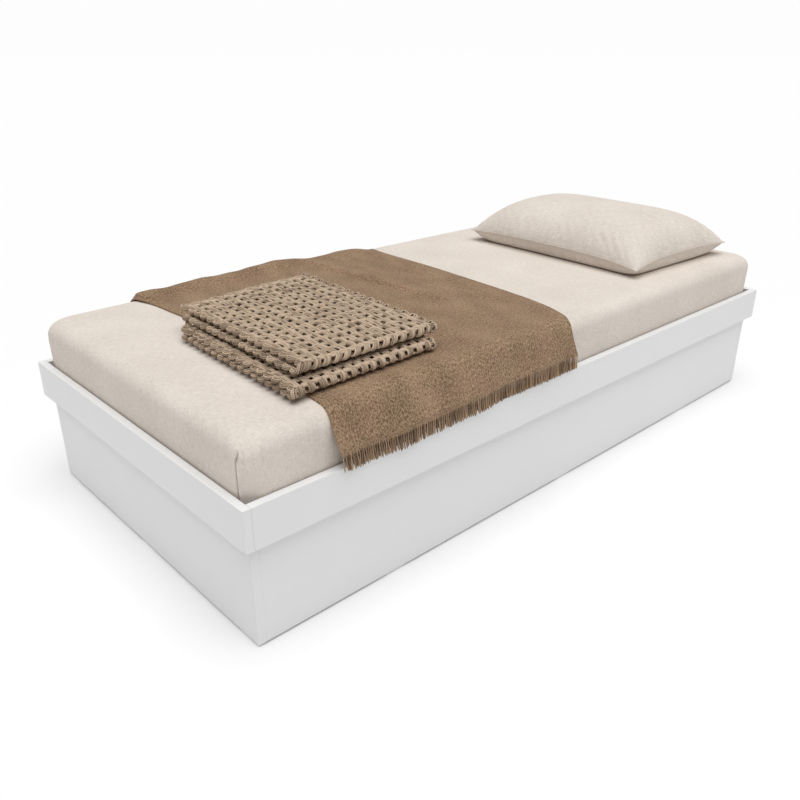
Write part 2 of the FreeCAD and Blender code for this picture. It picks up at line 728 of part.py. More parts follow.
def biarc(start, start_heading, finish, finish_heading):
    """Two arcs that join two points along two headings."""
    span = finish - start
    both = start_heading + finish_heading
    bend = 2 * (1 - start_heading.dot(finish_heading))
    reach = (math.sqrt(span.dot(both) ** 2 + bend * span.dot(span)) - span.dot(both)) / bend
    joint = (start + finish + (start_heading - finish_heading) * reach) * 0.5
    first = tangent_arc(start, start_heading, joint)
    second = tangent_arc(finish, finish_heading * -1, joint)
    return first, Part.Arc(joint, second.value((second.FirstParameter + second.LastParameter) / 2), finish)


def coil_spring():
    """One spring as an unbroken tube that stands on its local origin."""
    knots = [index / 2 for index in range(2 * SPRING_TURNS + 1)]
    arcs = []
    for first, second in zip(knots, knots[1:]):
        arcs.extend(biarc(coil_point(first), coil_heading(first), coil_point(second), coil_heading(second)))
    path = Part.Wire([arc.toShape() for arc in arcs])
    section = Part.Circle(coil_point(0), coil_heading(0), number("spring_wire / 2"))
    return path.makePipeShell([Part.Wire(section.toShape())], True, False), path


def least_gap(path, wire):
    """Smallest clear distance between stretches of a coil that are half a turn or more apart."""
    points = path.discretize(SPRING_SAMPLES_A_TURN * SPRING_TURNS)
    apart = SPRING_SAMPLES_A_TURN // 2
    return min(
        points[first].distanceToPoint(points[second])
        for first in range(len(points))
        for second in range(first + apart, len(points))
    ) - wire


def build_springs():
    """Rows of springs, a row to each slat."""
    spring, path = coil_spring()
    print("least gap of a spring to itself:", round(least_gap(path, number("spring_wire")), 2))
    foot = number("spring_bottom")
    for index, x in enumerate(even_places(SLATS, "slat_pitch"), start=1):
        row_of_springs = []
        for y in even_places(SPRING_COLUMNS, "spring_column_pitch"):
            copy = spring.copy()
            copy.translate(Vector(number(x), number(y), foot))
            row_of_springs.append(copy)
        shaped(f"spring_row_{index:02d}", Part.makeCompound(row_of_springs))


# Spring deck


def build_border_wire():
    """The wire frame round the top of the springs."""
    body = document.addObject("PartDesign::Body", "border_wire")
    radius = number("border_corner_radius")
    half_length = number("border_length / 2")
    half_width = number("border_width / 2")
    spine = new_sketch(body, "border_wire_spine", "XY_Plane")
    straight_x = half_length - radius
    straight_y = half_width - radius
    runs = [
        (Vector(-straight_x, -half_width, 0), Vector(straight_x, -half_width, 0)),
        (Vector(half_length, -straight_y, 0), Vector(half_length, straight_y, 0)),
        (Vector(straight_x, half_width, 0), Vector(-straight_x, half_width, 0)),
        (Vector(-half_length, straight_y, 0), Vector(-half_length, -straight_y, 0)),
    ]
    centres = [
        Vector(straight_x, -straight_y, 0),
        Vector(straight_x, straight_y, 0),
        Vector(-straight_x, straight_y, 0),
        Vector(-straight_x, -straight_y, 0),
    ]
    for index, ((start, finish), centre) in enumerate(zip(runs, centres)):
        spine.addGeometry(Part.LineSegment(start, finish))
        angle = (index - 1) * math.pi / 2
        spine.addGeometry(Part.ArcOfCircle(Part.Circle(centre, UP, radius), angle, angle + math.pi / 2))
    for index in range(4):
        line = 2 * index
        spine.addConstraint(Sketcher.Constraint("Tangent", line, 2, line + 1, 1))
        spine.addConstraint(Sketcher.Constraint("Tangent", line + 1, 2, (line + 2) % 8, 1))
        spine.addConstraint(Sketcher.Constraint("Vertical" if index % 2 else "Horizontal", line))
    for index in range(1, 4):
        spine.addConstraint(Sketcher.Constraint("Equal", 1, 2 * index + 1))
    spine.addConstraint(Sketcher.Constraint("Symmetric", 0, 1, 4, 1, -1, 1))
    hold(spine, Sketcher.Constraint("Radius", 1, radius), "border_corner_radius")
    run_x = "border_length - 2 * border_corner_radius"
    run_y = "border_width - 2 * border_corner_radius"
    hold(spine, Sketcher.Constraint("DistanceX", 0, 1, 0, 2, 2 * straight_x), run_x)
    hold(spine, Sketcher.Constraint("DistanceY", 2, 1, 2, 2, 2 * straight_y), run_y)
    profile = new_sketch(body, "border_wire_profile", "YZ_Plane")
    circles(profile, [("-border_width / 2", "0")], "border_wire")
    pipe = body.newObject("PartDesign::AdditivePipe", "border_wire_pipe")
    pipe.Profile = profile
    pipe.Spine = (spine, [f"Edge{index}" for index in range(1, 9)])
    document.recompute()
    place(body, z="border_level")
    sub_part(body, "border_wire")


def wire_set(label, along, places, length, level):
    """Straight wires of one length side by side, along X or along Y."""
    wires = []
    for index, text in enumerate(places, start=1):
        wire = document.addObject("Part::Cylinder", f"{label}_{index:02d}")
        bind(wire, "Radius", "grid_wire / 2")
        bind(wire, "Height", length)
        start = f"-({length}) / 2"
        if along == "X":
            wire.Placement.Rotation = FreeCAD.Rotation(Vector(0, 1, 0), 90)
            place(wire, x=start, y=text, z=level)
        else:
            wire.Placement.Rotation = FreeCAD.Rotation(Vector(1, 0, 0), -90)
            place(wire, x=text, y=start, z=level)
        wires.append(wire)
    group = document.addObject("Part::Compound", label)
    group.Links = wires
    sub_part(group, label)


def build_deck():
    """The wire grid on the springs, and the felt pad and cover over it."""
    build_border_wire()
    columns = even_places(SPRING_COLUMNS, "spring_column_pitch")
    rows = even_places(SLATS, "slat_pitch")
    wire_set("long_grid_wires", "X", columns, "long_wire_length", "long_wire_level")
    wire_set("cross_grid_wires", "Y", rows, "cross_wire_length", "cross_wire_level")
    for label, bottom, thickness in (
        ("insulator_pad", "pad_bottom", "pad_thickness"),
        ("deck_cover", "cover_bottom", "cover_thickness"),
    ):
        layer = board(label, "XY_Plane", "deck_length", "deck_width", thickness, broken_edges=False)
        place(layer, z=f"{bottom} + {thickness} / 2")


# Mattress and fitted sheet


def crown_radius():
    """Radius of the very flat ball whose surface is the mattress's crowned top."""
    half_length = number("mattress_length / 2")
    half_width = number("mattress_width / 2")
    return (half_length ** 2 + half_width ** 2) / number("2 * mattress_crown")


def soft_block(inset, bottom_rounded):
    """The mattress form, drawn in by an inset on its sides and top, standing on its underside."""
    half_length = number("mattress_length / 2") - inset
    half_width = number("mattress_width / 2") - inset
    height = number("mattress_height") - inset
    ball = crown_radius() - inset
    block = box((-half_length, half_length), (-half_width, half_width), (0, height))
    corners = [edge for edge in block.Edges if edge.BoundBox.ZLength > edge.BoundBox.DiagonalLength / 2]
    block = block.makeFillet(number("mattress_corner_radius") - inset, corners)
    block = block.common(Part.makeSphere(ball, Vector(0, 0, height - ball)))
    top_face = max(block.Faces, key=lambda face: face.CenterOfMass.z)
    block = block.makeFillet(number("mattress_top_radius") - inset, top_face.Edges)
    if bottom_rounded:
        bottom_face = min(block.Faces, key=lambda face: face.CenterOfMass.z)
        block = block.makeFillet(number("mattress_bottom_radius") - inset, bottom_face.Edges)
    return block


def build_mattress():
    """The mattress and the sheet fitted over it."""
    cloth = number("sheet_thickness")
    ease = number("cloth_ease")
    core = soft_block(cloth + ease, True)
    sheet_cover = soft_block(0, False).cut(soft_block(cloth, False))
    seat = UP * number("mattress_bottom")
    shaped("mattress", core.translated(seat))
    shaped("fitted_sheet", sheet_cover.translated(seat))


# Pillow


def pillow_arches(half, crown, inset):
    """Radii and centre heights of the arcs over and under the pillow from one side to the other."""
    reach = half + number("pillow_edge_margin")
    seam = number("pillow_height") * PILLOW_SEAM_SHARE
    rest = half * PILLOW_REST_SHARE
    rise = crown - seam
    over = (reach ** 2 + rise ** 2) / (2 * rise)
    under_centre = (reach ** 2 + seam ** 2 - rest ** 2) / (2 * seam)
    under = math.hypot(rest, under_centre)
    return (under - inset, under_centre), (over - inset, crown - over)


def pillow_form(inset):
    """The pillow's plain form, drawn in by an inset all round, standing on its local origin.

    It is crowned both ways over a flat rest, and its four sides pull in between the corners.
    """
    half_width = number("pillow_width / 2")
    half_length = number("pillow_length / 2")
    height = number("pillow_height")
    width = half_width - inset
    length = half_length - inset
    form = box((-width, width), (-length, length), (inset, height))
    ridge = height + number("pillow_ridge_rise")
    for run, half, crown, along in (
        (half_length, half_width, height, Vector(0, 1, 0)),
        (half_width, half_length, ridge, Vector(1, 0, 0)),
    ):
        for radius, level in pillow_arches(half, crown, inset):
            start = along * -run + UP * level
            form = form.common(Part.makeCylinder(radius, 2 * run, start, along))
    for run, half, hollow, outward in (
        (half_length, half_width, number("pillow_side_inset"), Vector(1, 0, 0)),
        (half_width, half_length, number("pillow_end_inset"), Vector(0, 1, 0)),
    ):
        bow = (run ** 2 + hollow ** 2) / (2 * hollow)
        for side in SIDES.values():
            centre = outward * (side * (half - hollow + bow))
            form = form.cut(Part.makeCylinder(bow + inset, height, centre))
    return form


def build_pillow():
    """The pillow and its pillowcase."""
    cloth = number("pillowcase_thickness")
    filling = pillow_form(cloth + number("cloth_ease"))
    case = pillow_form(0).cut(pillow_form(cloth))
    rest_edge = abs(number("pillow_place_x")) - number("pillow_width / 2") * PILLOW_REST_SHARE
    fall = rest_edge ** 2 / (2 * crown_radius())
    seat = number("mattress_top + cloth_ease") - fall
    spot = Vector(number("pillow_place_x"), number("pillow_place_y"), seat)
    turn = FreeCAD.Rotation(UP, PILLOW_TURN_DEGREES)
    for label, form in (("pillow", filling), ("pillowcase", case)):
        feature = shaped(label, form)
        feature.Placement = FreeCAD.Placement(spot, turn)


# Throw


def flap_points(fold_part, lift_part):
    """A hanging end in the Y-Z plane: where it leaves the mattress edge, its knee and its hem."""
    radius = number("mattress_top_radius + cloth_ease")
    centre = Vector(0, number("mattress_width / 2 - mattress_top_radius"), number("throw_underside") - radius)
    fold = number("throw_fold_depth") * fold_part
    knee = Vector(0, number("flap_line") + fold * KNEE_FOLD_SHARE, number("flap_knee"))
    hem = Vector(0, number("flap_line") + fold, number("hem_level") + number("hem_wave") * lift_part)
    to_knee = knee - centre
    leaving = math.atan2(to_knee.z, to_knee.y) + math.acos(radius / to_knee.Length)
    return centre, radius, leaving, knee, hem


def half_outline(fold_part, lift_part, side, x):
    """Corner points of one hanging end, inside and outside, with its arcs' middle points."""
    centre, radius, leaving, knee, hem = flap_points(fold_part, lift_part)
    cloth = number("throw_thickness")

    def on_arc(reach, angle):
        return centre + Vector(0, reach * math.cos(angle), reach * math.sin(angle))

    slope_normal = Vector(0, math.cos(leaving), math.sin(leaving))
    fall = (hem - knee).normalize()
    fall_normal = Vector(0, -fall.z, fall.y)
    knee_reach = (slope_normal + fall_normal) * (cloth / (1 + slope_normal.dot(fall_normal)))
    top = math.pi / 2
    halfway = (top + leaving) / 2
    inside = [on_arc(radius, top), on_arc(radius, halfway), on_arc(radius, leaving), knee, hem]
    outer = radius + cloth
    outside = [on_arc(outer, top), on_arc(outer, halfway), on_arc(outer, leaving)]
    outside += [knee + knee_reach, hem + fall_normal * cloth]

    def on_side(points):
        return [Vector(x, side * point.y, point.z) for point in points]

    return on_side(inside), on_side(outside)


def run_edges(points):
    """An arc through the first three points, then straight runs."""
    arc = Part.Arc(*points[:3]).toShape()
    return [arc] + [Part.makeLine(first, second) for first, second in zip(points[2:], points[3:])]


def throw_section(x, near_fold, near_lift, far_fold, far_lift):
    """The closed section of the throw across the bed."""
    near_in, near_out = half_outline(near_fold, near_lift, SIDES["near"], x)
    far_in, far_out = half_outline(far_fold, far_lift, SIDES["far"], x)
    edges = run_edges(near_in) + run_edges(near_out) + run_edges(far_in) + run_edges(far_out)
    edges.append(Part.makeLine(near_in[-1], near_out[-1]))
    edges.append(Part.makeLine(far_in[-1], far_out[-1]))
    edges.append(Part.makeLine(near_in[0], far_in[0]))
    edges.append(Part.makeLine(near_out[0], far_out[0]))
    return Part.Wire(Part.__sortEdges__(edges))


def fringe_section(x, side, fold_part, lift_part):
    """The closed section of the fringe under one hem."""
    hem = flap_points(fold_part, lift_part)[4]
    inner = hem.y + number("(throw_thickness - fringe_thickness) / 2")
    outer = inner + number("fringe_thickness")
    low = hem.z - number("fringe_length")
    corners = [(inner, hem.z), (outer, hem.z), (outer, low), (inner, low), (inner, hem.z)]
    return Part.makePolygon([Vector(x, side * y, z) for y, z in corners])


def fold_share(station_share):
    """How far a hanging end stands out there, as a share of the fold depth."""
    return (1 - math.cos(2 * math.pi * THROW_FOLDS * station_share)) / 2


def throw_stations():
    """Places along the bed, each with the fold and the lift of the near end and of the far end."""
    start = number("throw_foot_edge")
    span = number("throw_head_edge") - start
    last = len(HEM_LIFT_SHARES) - 1
    for index in range(last + 1):
        fold = fold_share(index / last)
        yield start + span * index / last, fold, HEM_LIFT_SHARES[index], fold, HEM_LIFT_SHARES[last - index]


def skew_wedge():
    """The corner that the throw's slanting head edge leaves out on the near side."""
    head_edge = number("throw_head_edge")
    reach = number("throw_skew_reach")
    near = number("flap_line + throw_fold_depth + throw_thickness + overrun")
    bend = near - reach
    slope = number("throw_skew") / reach
    past = number("overrun")
    low = number("hem_level - fringe_length - overrun")
    corners = [
        Vector(head_edge, -bend, low),
        Vector(head_edge - slope * reach, -near, low),
        Vector(head_edge + past, -near, low),
        Vector(head_edge + past, -bend, low),
    ]
    outline = Part.makePolygon(corners + corners[:1])
    return Part.Face(outline).extrude(UP * number("throw_top - hem_level + fringe_length + 2 * overrun"))


def build_throw():
    """The throw across the bed, and the fringe along its two hems."""
    stations = list(throw_stations())
    wedge = skew_wedge()
    cloth = Part.makeLoft([throw_section(*station) for station in stations], True, False)
    shaped("throw", cloth.cut(wedge))
    near = [fringe_section(x, SIDES["near"], fold, lift) for x, fold, lift, _, _ in stations]
    far = [fringe_section(x, SIDES["far"], fold, lift) for x, _, _, fold, lift in stations]
    near_fringe = Part.makeLoft(near, True, False).cut(wedge)
    far_fringe = Part.makeLoft(far, True, False)
    shaped("throw_fringe", Part.makeCompound(near_fringe.Solids + far_fringe.Solids))


# Folded blanket


def folded_path():
    """Centre line of layers folded to and fro in the Y-Z plane, starting and ending on the far side."""
    half = number("blanket_length / 2")
    bend = half - number("fold_outer")
    pitch = number("fold_pitch")
    low = number("blanket_layer / 2")
    bends = [-bend if index % 2 else bend for index in range(1, BLANKET_LAYERS)]
    ends = [half] + bends + [half]
    edges = []
    for index in range(BLANKET_LAYERS):
        level = low + pitch * index
        start = Vector(0, ends[index], level)
        finish = Vector(0, ends[index + 1], level)
        edges.append(Part.makeLine(start, finish))
        if index + 1 < BLANKET_LAYERS:
            side = math.copysign(pitch / 2, ends[index + 1])
            tilt = math.sqrt(0.5)
            fold_middle = Vector(0, finish.y + side, level + pitch / 2)
            eighth = Vector(0, finish.y + side * tilt, level + pitch / 2 * (1 - tilt))
            back = Vector(0, finish.y + side * tilt, level + pitch / 2 * (1 + tilt))
            above = Vector(0, finish.y, level + pitch)
            edges.append(Part.Arc(finish, eighth, fold_middle).toShape())
            edges.append(Part.Arc(fold_middle, back, above).toShape())
    return Part.Wire(edges)


def build_blanket():
    """The blanket, folded into four layers with two folds towards the near side."""
    half_width = number("blanket_width / 2")
    layer = number("blanket_layer")
    end = number("blanket_length / 2")
    corners = [
        Vector(-half_width, end, 0),
        Vector(half_width, end, 0),
        Vector(half_width, end, layer),
        Vector(-half_width, end, layer),
    ]
    section = Part.makePolygon(corners + corners[:1])
    feature = shaped("folded_blanket", folded_path().makePipeShell([section], True, False))
    spot = Vector(number("blanket_place_x"), number("blanket_place_y"), number("throw_top + cloth_ease"))
    feature.Placement = FreeCAD.Placement(spot, FreeCAD.Rotation(UP, BLANKET_TURN_DEGREES))


def build_bed():
    """Every sub-part of the bed."""
    for name, end in ENDS.items():
        build_end_panel(name, end)
        build_end_rim(name, end)
    for name, side in SIDES.items():
        build_side_panel(name, side)
        build_side_rim(name, side)
        build_ledge(name, side)
    build_glides()
    build_slats()
    build_beam()
    build_hangers()
    build_legs()
    build_corner_fittings()
    build_screws()
    build_springs()
    build_deck()
    build_mattress()
    build_pillow()
    build_throw()
    build_blanket()


def check_and_export():
    """Stop if anything failed, then write each sub-part to its own file."""
    document.recompute()
    failed = [thing.Name for thing in document.Objects if {"Invalid", "Error"} & set(thing.State)]
    if failed:
        raise RuntimeError("failed objects: " + ", ".join(failed))
    for piece in pieces:
        if piece.Shape.isNull() or not piece.Shape.isValid() or not piece.Shape.Solids:
            raise RuntimeError(piece.Label + " has no valid solid")
    os.makedirs("parts", exist_ok=True)
    for piece in pieces:
        piece.Shape.exportStep(f"parts/{piece.Label}.step")
    print(len(pieces), "sub-parts written")


build_bed()
check_and_export()
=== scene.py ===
"""The looks of the dressed box spring bed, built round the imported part.

Metres, in the part's own frame: X runs from the foot to the head, Y from the near side to the far side, Z up.
The rigid parts keep their solids. Springs, felt, cloth, fringe, yarn and the rim's caps are modelled here.
"""

import math

import bpy
import numpy as np
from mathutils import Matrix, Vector


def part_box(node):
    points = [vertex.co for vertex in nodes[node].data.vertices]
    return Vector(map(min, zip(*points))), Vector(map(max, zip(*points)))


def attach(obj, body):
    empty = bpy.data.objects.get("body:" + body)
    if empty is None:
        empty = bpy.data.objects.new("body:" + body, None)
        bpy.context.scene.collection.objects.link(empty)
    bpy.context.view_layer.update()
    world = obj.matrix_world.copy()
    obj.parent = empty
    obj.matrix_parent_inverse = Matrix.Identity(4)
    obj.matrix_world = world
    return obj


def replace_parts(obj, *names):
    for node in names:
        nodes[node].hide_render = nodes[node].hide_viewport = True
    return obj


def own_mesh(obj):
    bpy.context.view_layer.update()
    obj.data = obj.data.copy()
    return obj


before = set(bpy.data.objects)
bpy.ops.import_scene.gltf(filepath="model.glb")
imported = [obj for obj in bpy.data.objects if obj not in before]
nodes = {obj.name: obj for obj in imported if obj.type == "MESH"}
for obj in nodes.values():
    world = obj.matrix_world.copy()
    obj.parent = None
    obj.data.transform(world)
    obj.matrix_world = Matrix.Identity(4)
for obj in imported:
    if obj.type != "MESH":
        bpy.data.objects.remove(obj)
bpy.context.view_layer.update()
scene = bpy.context.scene
draws = np.random.default_rng(12)

# Camera

CAMERA_PLACE = Vector((-1.5412, -1.4839, 1.0491))
CAMERA_AZIMUTH = math.radians(-42.77)
CAMERA_ELEVATION = math.radians(24.61)
CAMERA_LENS = 35.21
CAMERA_SENSOR = 36.0

# Light

SKY_LEVEL = 0.33
SEEN_WHITE = 0.985
SUN_POWER = 2.60
SUN_WIDTH = math.radians(66)
SUN_FROM = Vector((-0.075, -0.165, 1.0))
FLOOR_TONE = 0.918
FLOOR_HALF = 60.0
FLOOR_DROP = 0.0005

# Colours, linear, each as dark and pale

WHITE_FOIL = ((0.80145, 0.80145, 0.80145), (0.83022, 0.83022, 0.83022))
WHITE_PLASTIC = ((0.768, 0.768, 0.7584), (0.80, 0.80, 0.79))
PINE = ((0.47, 0.30, 0.15), (0.62, 0.44, 0.25))
BEECH = ((0.43, 0.26, 0.15), (0.55, 0.36, 0.22))
ZINC = ((0.48, 0.49, 0.50), (0.62, 0.63, 0.64))
STEEL = ((0.20, 0.20, 0.21), (0.30, 0.30, 0.31))
FELT = ((0.20, 0.20, 0.20), (0.42, 0.41, 0.40))
DECK_CLOTH = ((0.66, 0.65, 0.62), (0.78, 0.77, 0.74))
TICKING = ((0.68, 0.67, 0.64), (0.80, 0.79, 0.76))
LINEN = ((0.640, 0.574, 0.510), (0.812, 0.743, 0.677))
WOOL = ((0.120, 0.076, 0.044), (0.440, 0.296, 0.190))
YARN = ((0.105, 0.066, 0.036), (0.590, 0.460, 0.342))
WARM_SHEEN = (1.0, 0.78, 0.58, 1.0)

# Finishes


def add_node(tree, kind, inputs, **settings):
    """A node of that kind; an input is a number, a colour or another node's output."""
    node = tree.nodes.new("ShaderNode" + kind)
    for setting, value in settings.items():
        setattr(node, setting, value)
    for socket, value in inputs.items():
        if isinstance(value, bpy.types.NodeSocket):
            tree.links.new(value, node.inputs[socket])
        else:
            node.inputs[socket].default_value = value
    return node


class Finish:
    """A Principled material, with short ways to add the nodes that vary it."""

    def __init__(self, name, roughness, **sockets):
        self.material = bpy.data.materials.new(name)
        self.material.use_nodes = True
        self.tree = self.material.node_tree
        self.shader = self.tree.nodes["Principled BSDF"]
        for socket, value in {"Roughness": roughness, **sockets}.items():
            self.shader.inputs[socket.replace("_", " ")].default_value = value

    def add(self, kind, output, inputs, **settings):
        """The named output of a new node."""
        return add_node(self.tree, kind, inputs, **settings).outputs[output]

    def feed(self, socket, output):
        """Drives a socket of the shader by a node's output."""
        self.tree.links.new(output, self.shader.inputs[socket])

    def places(self, layer=None):
        """Where a point is: on the object, or on the flat cloth as stored in a layer of the mesh."""
        if layer is None:
            return self.add("TexCoord", "Object", {})
        return self.add("Attribute", "Vector", {}, attribute_name=layer)

    def noise(self, places, per_metre, detail=2.0, rough=0.5, turn=0.0):
        """Cloudy values with that many cells to a metre, all ways or by axis, turned about the third axis."""
        cell = tuple(1 / np.broadcast_to(per_metre, 3))
        inputs = {"Vector": places, "Rotation": (0, 0, turn), "Scale": cell}
        scaled = self.add("Mapping", "Vector", inputs, vector_type="TEXTURE")
        inputs = {"Vector": scaled, "Scale": 1.0, "Detail": detail, "Roughness": rough}
        return self.add("TexNoise", "Fac", inputs)

    def both(self, first, second, operation="ADD"):
        """Two values put together, by a sum where no other operation is named."""
        return self.add("Math", "Value", {0: first, 1: second}, operation=operation)

    def spread(self, value, low, high, to_low=0.0, to_high=1.0):
        """A value's range from low to high, spread over 0 to 1 or over another range."""
        ends = {"From Min": low, "From Max": high, "To Min": to_low, "To Max": to_high}
        return self.add("MapRange", "Result", {"Value": value, **ends})

    def colour(self, share, dark, pale, hue=0.5):
        """The colour goes from dark to pale by a share; a hue of 0.5 leaves it as it is."""
        ramp = add_node(self.tree, "ValToRGB", {"Fac": share})
        for element, shade in zip(ramp.color_ramp.elements, (dark, pale)):
            element.color = (*shade, 1)
        inputs = {"Color": ramp.outputs["Color"], "Hue": hue}
        self.feed("Base Color", self.add("HueSaturation", "Color", inputs))

    def uneven_gloss(self, share, low, high):
        """The roughness goes from low to high by a share."""
        self.feed("Roughness", self.spread(share, 0.0, 1.0, low, high))

    def relief(self, height, depth, strength):
        """Fine relief of that depth in metres."""
        inputs = {"Height": height, "Strength": strength, "Distance": depth}
        self.feed("Normal", self.add("Bump", "Normal", inputs))


def board_finish():
    """White foil on board: nearly even, with a very fine orange peel."""
    finish = Finish("white_foil_on_board", 0.42, Specular_IOR_Level=0.35)
    places = finish.places()
    finish.colour(finish.noise(places, 2.5, 3.0), *WHITE_FOIL)
    finish.uneven_gloss(finish.noise(places, 14.0), 0.36, 0.50)
    finish.relief(finish.noise(places, 900.0, 1.0), 0.00008, 0.35)
    return finish.material


def plastic_finish():
    """White moulded plastic."""
    finish = Finish("white_glide_plastic", 0.38)
    grain = finish.noise(finish.places(), 1500.0, 1.0)
    finish.colour(grain, *WHITE_PLASTIC)
    finish.relief(grain, 0.00004, 0.4)
    return finish.material


def wood_finish(name, dark, pale, along):
    """Planed wood with its grain along an axis."""
    finish = Finish(name, 0.55, Specular_IOR_Level=0.3)
    places = finish.places()
    lengthways = np.arange(3) == "XYZ".index(along)
    rings = finish.noise(places, np.where(lengthways, 1.6, 26.0), 4.0, 0.6)
    pores = finish.noise(places, np.where(lengthways, 9.0, 420.0))
    bands = finish.both(finish.both(rings, 7.0, "MULTIPLY"), 0.5, "PINGPONG")
    figure = finish.both(bands, finish.both(pores, 0.5, "MULTIPLY"))
    finish.colour(finish.spread(figure, 0.12, 0.78), dark, pale)
    finish.uneven_gloss(pores, 0.48, 0.66)
    finish.relief(pores, 0.0002, 0.4)
    return finish.material


def metal_finish(name, dark, pale, low, high):
    """Bare or plated metal with cloudy gloss."""
    finish = Finish(name, low, Metallic=1.0)
    places = finish.places()
    cloud = finish.noise(places, 160.0, 4.0, 0.6)
    finish.colour(cloud, dark, pale)
    finish.uneven_gloss(cloud, low, high)
    finish.relief(finish.noise(places, 1200.0), 0.00005, 0.5)
    return finish.material


def felt_finish():
    """Needled felt of mixed fibres."""
    finish = Finish("needled_felt", 0.95, Specular_IOR_Level=0.1, Sheen_Weight=0.2)
    places = finish.places()
    tufts = finish.noise(places, 260.0, 5.0, 0.7)
    fibres = finish.noise(places, (90.0, 700.0, 300.0), 3.0, 0.6)
    finish.colour(finish.spread(finish.both(tufts, fibres), 0.75, 1.25), *FELT)
    finish.relief(tufts, 0.0012, 0.7)
    return finish.material


def cloth_finish(name, roughness, sheen):
    """Dull fibres with a warm sheen, before their weave or yarn."""
    return Finish(name, roughness, Specular_IOR_Level=0.03, Sheen_Weight=sheen, Sheen_Tint=WARM_SHEEN)


def woven_finish(name, dark, pale, threads, slub, depth):
    """Plain weave: threads both ways with thick and thin places, on the flat cloth's own coordinates."""
    finish = cloth_finish(name, 0.9, 0.05)
    places = finish.places("flat")
    warp = finish.noise(places, (slub, threads, 1.0))
    weft = finish.noise(places, (threads, slub, 1.0))
    weave = finish.both(warp, weft)
    cloud = finish.both(finish.noise(places, (6.0, 6.0, 1.0)), 0.5, "MULTIPLY")
    finish.colour(finish.spread(finish.both(weave, cloud), 0.95, 1.55), dark, pale)
    finish.relief(weave, depth, 0.7)
    return finish.material


def wool_finish(name):
    """Brushed wool cloth: a short nap with small tufts, over a soft unevenness of tone and hue."""
    finish = cloth_finish(name, 0.95, 0.3)
    places = finish.places("flat")
    nap = finish.noise(places, (480.0, 150.0, 1.0), 2.0, 0.6, 0.6)
    tufts = finish.noise(places, (450.0, 140.0, 1.0), 2.0, 0.6, -0.5)
    pile = finish.both(nap, tufts)
    cloud = finish.noise(places, (16.0, 9.0, 1.0))
    tone = finish.both(pile, finish.both(cloud, 0.3, "MULTIPLY"))
    hue = finish.spread(finish.noise(places, (11.0, 15.0, 1.0)), 0.3, 0.7, 0.493, 0.505)
    finish.colour(finish.spread(tone, 0.95, 1.35), *WOOL, hue)
    finish.relief(pile, 0.0014, 0.7)
    return finish.material


def yarn_finish(name, dark, pale, fuzz):
    """Spun yarn: strands of uneven tone, with short fibres."""
    finish = cloth_finish(name, 0.92, 0.1)
    fibres = finish.noise(finish.places(), fuzz, 3.0, 0.65)
    strand = finish.add("Attribute", "Fac", {}, attribute_name="tone")
    tone = finish.both(finish.both(fibres, 0.5, "MULTIPLY"), finish.both(strand, 0.75, "MULTIPLY"))
    finish.colour(finish.spread(tone, 0.18, 0.84), dark, pale)
    finish.relief(fibres, 0.0006, 0.5)
    return finish.material


# Meshes

UP = (0, 0, 1)
FIRST_ASIDE = (0.31, 0.52, 0.79)


def linked(name, data, turn=None):
    """A new object in the scene, turned where a turn is given."""
    thing = bpy.data.objects.new(name, data)
    if turn is not None:
        thing.rotation_mode = "QUATERNION"
        thing.rotation_quaternion = turn
    scene.collection.objects.link(thing)
    return thing


def store(mesh, name, values):
    """Keeps one number or one vector for each point of a mesh."""
    vectors = values.ndim == 2
    layer = mesh.attributes.new(name, "FLOAT_VECTOR" if vectors else "FLOAT", "POINT")
    layer.data.foreach_set("vector" if vectors else "value", values.astype(np.float32).ravel())


def mesh_object(name, points, faces, material, layers=None):
    """A smooth mesh of four-cornered faces, with layers of values on its points."""
    points = np.asarray(points, float).reshape(-1, 3)
    faces = np.asarray(faces, int)
    mesh = bpy.data.meshes.new(name)
    mesh.vertices.add(len(points))
    mesh.vertices.foreach_set("co", points.ravel())
    mesh.loops.add(faces.size)
    mesh.loops.foreach_set("vertex_index", faces.ravel())
    mesh.polygons.add(len(faces))
    mesh.polygons.foreach_set("loop_start", np.arange(0, faces.size, faces.shape[1]))
    mesh.update(calc_edges=True)
    mesh.shade_smooth()
    for layer, values in (layers or {}).items():
        store(mesh, layer, values)
    mesh.materials.append(material)
    return linked(name, mesh)


def points_of(mesh, kind="co"):
    """A mesh's points, or another vector of each point, as an array."""
    places = np.zeros(len(mesh.vertices) * 3)
    mesh.vertices.foreach_get(kind, places)
    return places.reshape(-1, 3)


def quads(index):
    """Four-cornered faces between neighbours in a grid of point numbers."""
    corners = [index[:-1, :-1], index[:-1, 1:], index[1:, 1:], index[1:, :-1]]
    return np.stack(corners, -1).reshape(-1, 4)


def grid_faces(rows, columns, closed=False):
    """Faces of a grid of points; a closed one joins its last column to its first."""
    index = np.arange(rows * columns).reshape(rows, columns)
    return quads(np.hstack([index, index[:, :1]]) if closed else index)


def border(index):
    """The point numbers round a grid, each once."""
    return np.concatenate([index[0, :-1], index[:-1, -1], index[-1, :0:-1], index[:0:-1, 0]])


def ring_cap(sides, first, flip):
    """Four-cornered faces that close a ring with an even count of points."""
    half = np.arange(sides // 2 - 1)
    cap = np.stack([half, half + 1, sides - 2 - half, sides - 1 - half], -1) + first
    return cap[:, ::-1] if flip else cap


def stacked_rings(rings, closed_bottom=True):
    """Points and faces of a pile of rings, closed at its first ring and, if wanted, at its last."""
    count = len(rings)
    sides = len(rings[0])
    faces = [grid_faces(count, sides, closed=True), ring_cap(sides, 0, flip=True)]
    if closed_bottom:
        faces.append(ring_cap(sides, (count - 1) * sides, flip=False))
    return np.concatenate(rings), np.concatenate(faces)


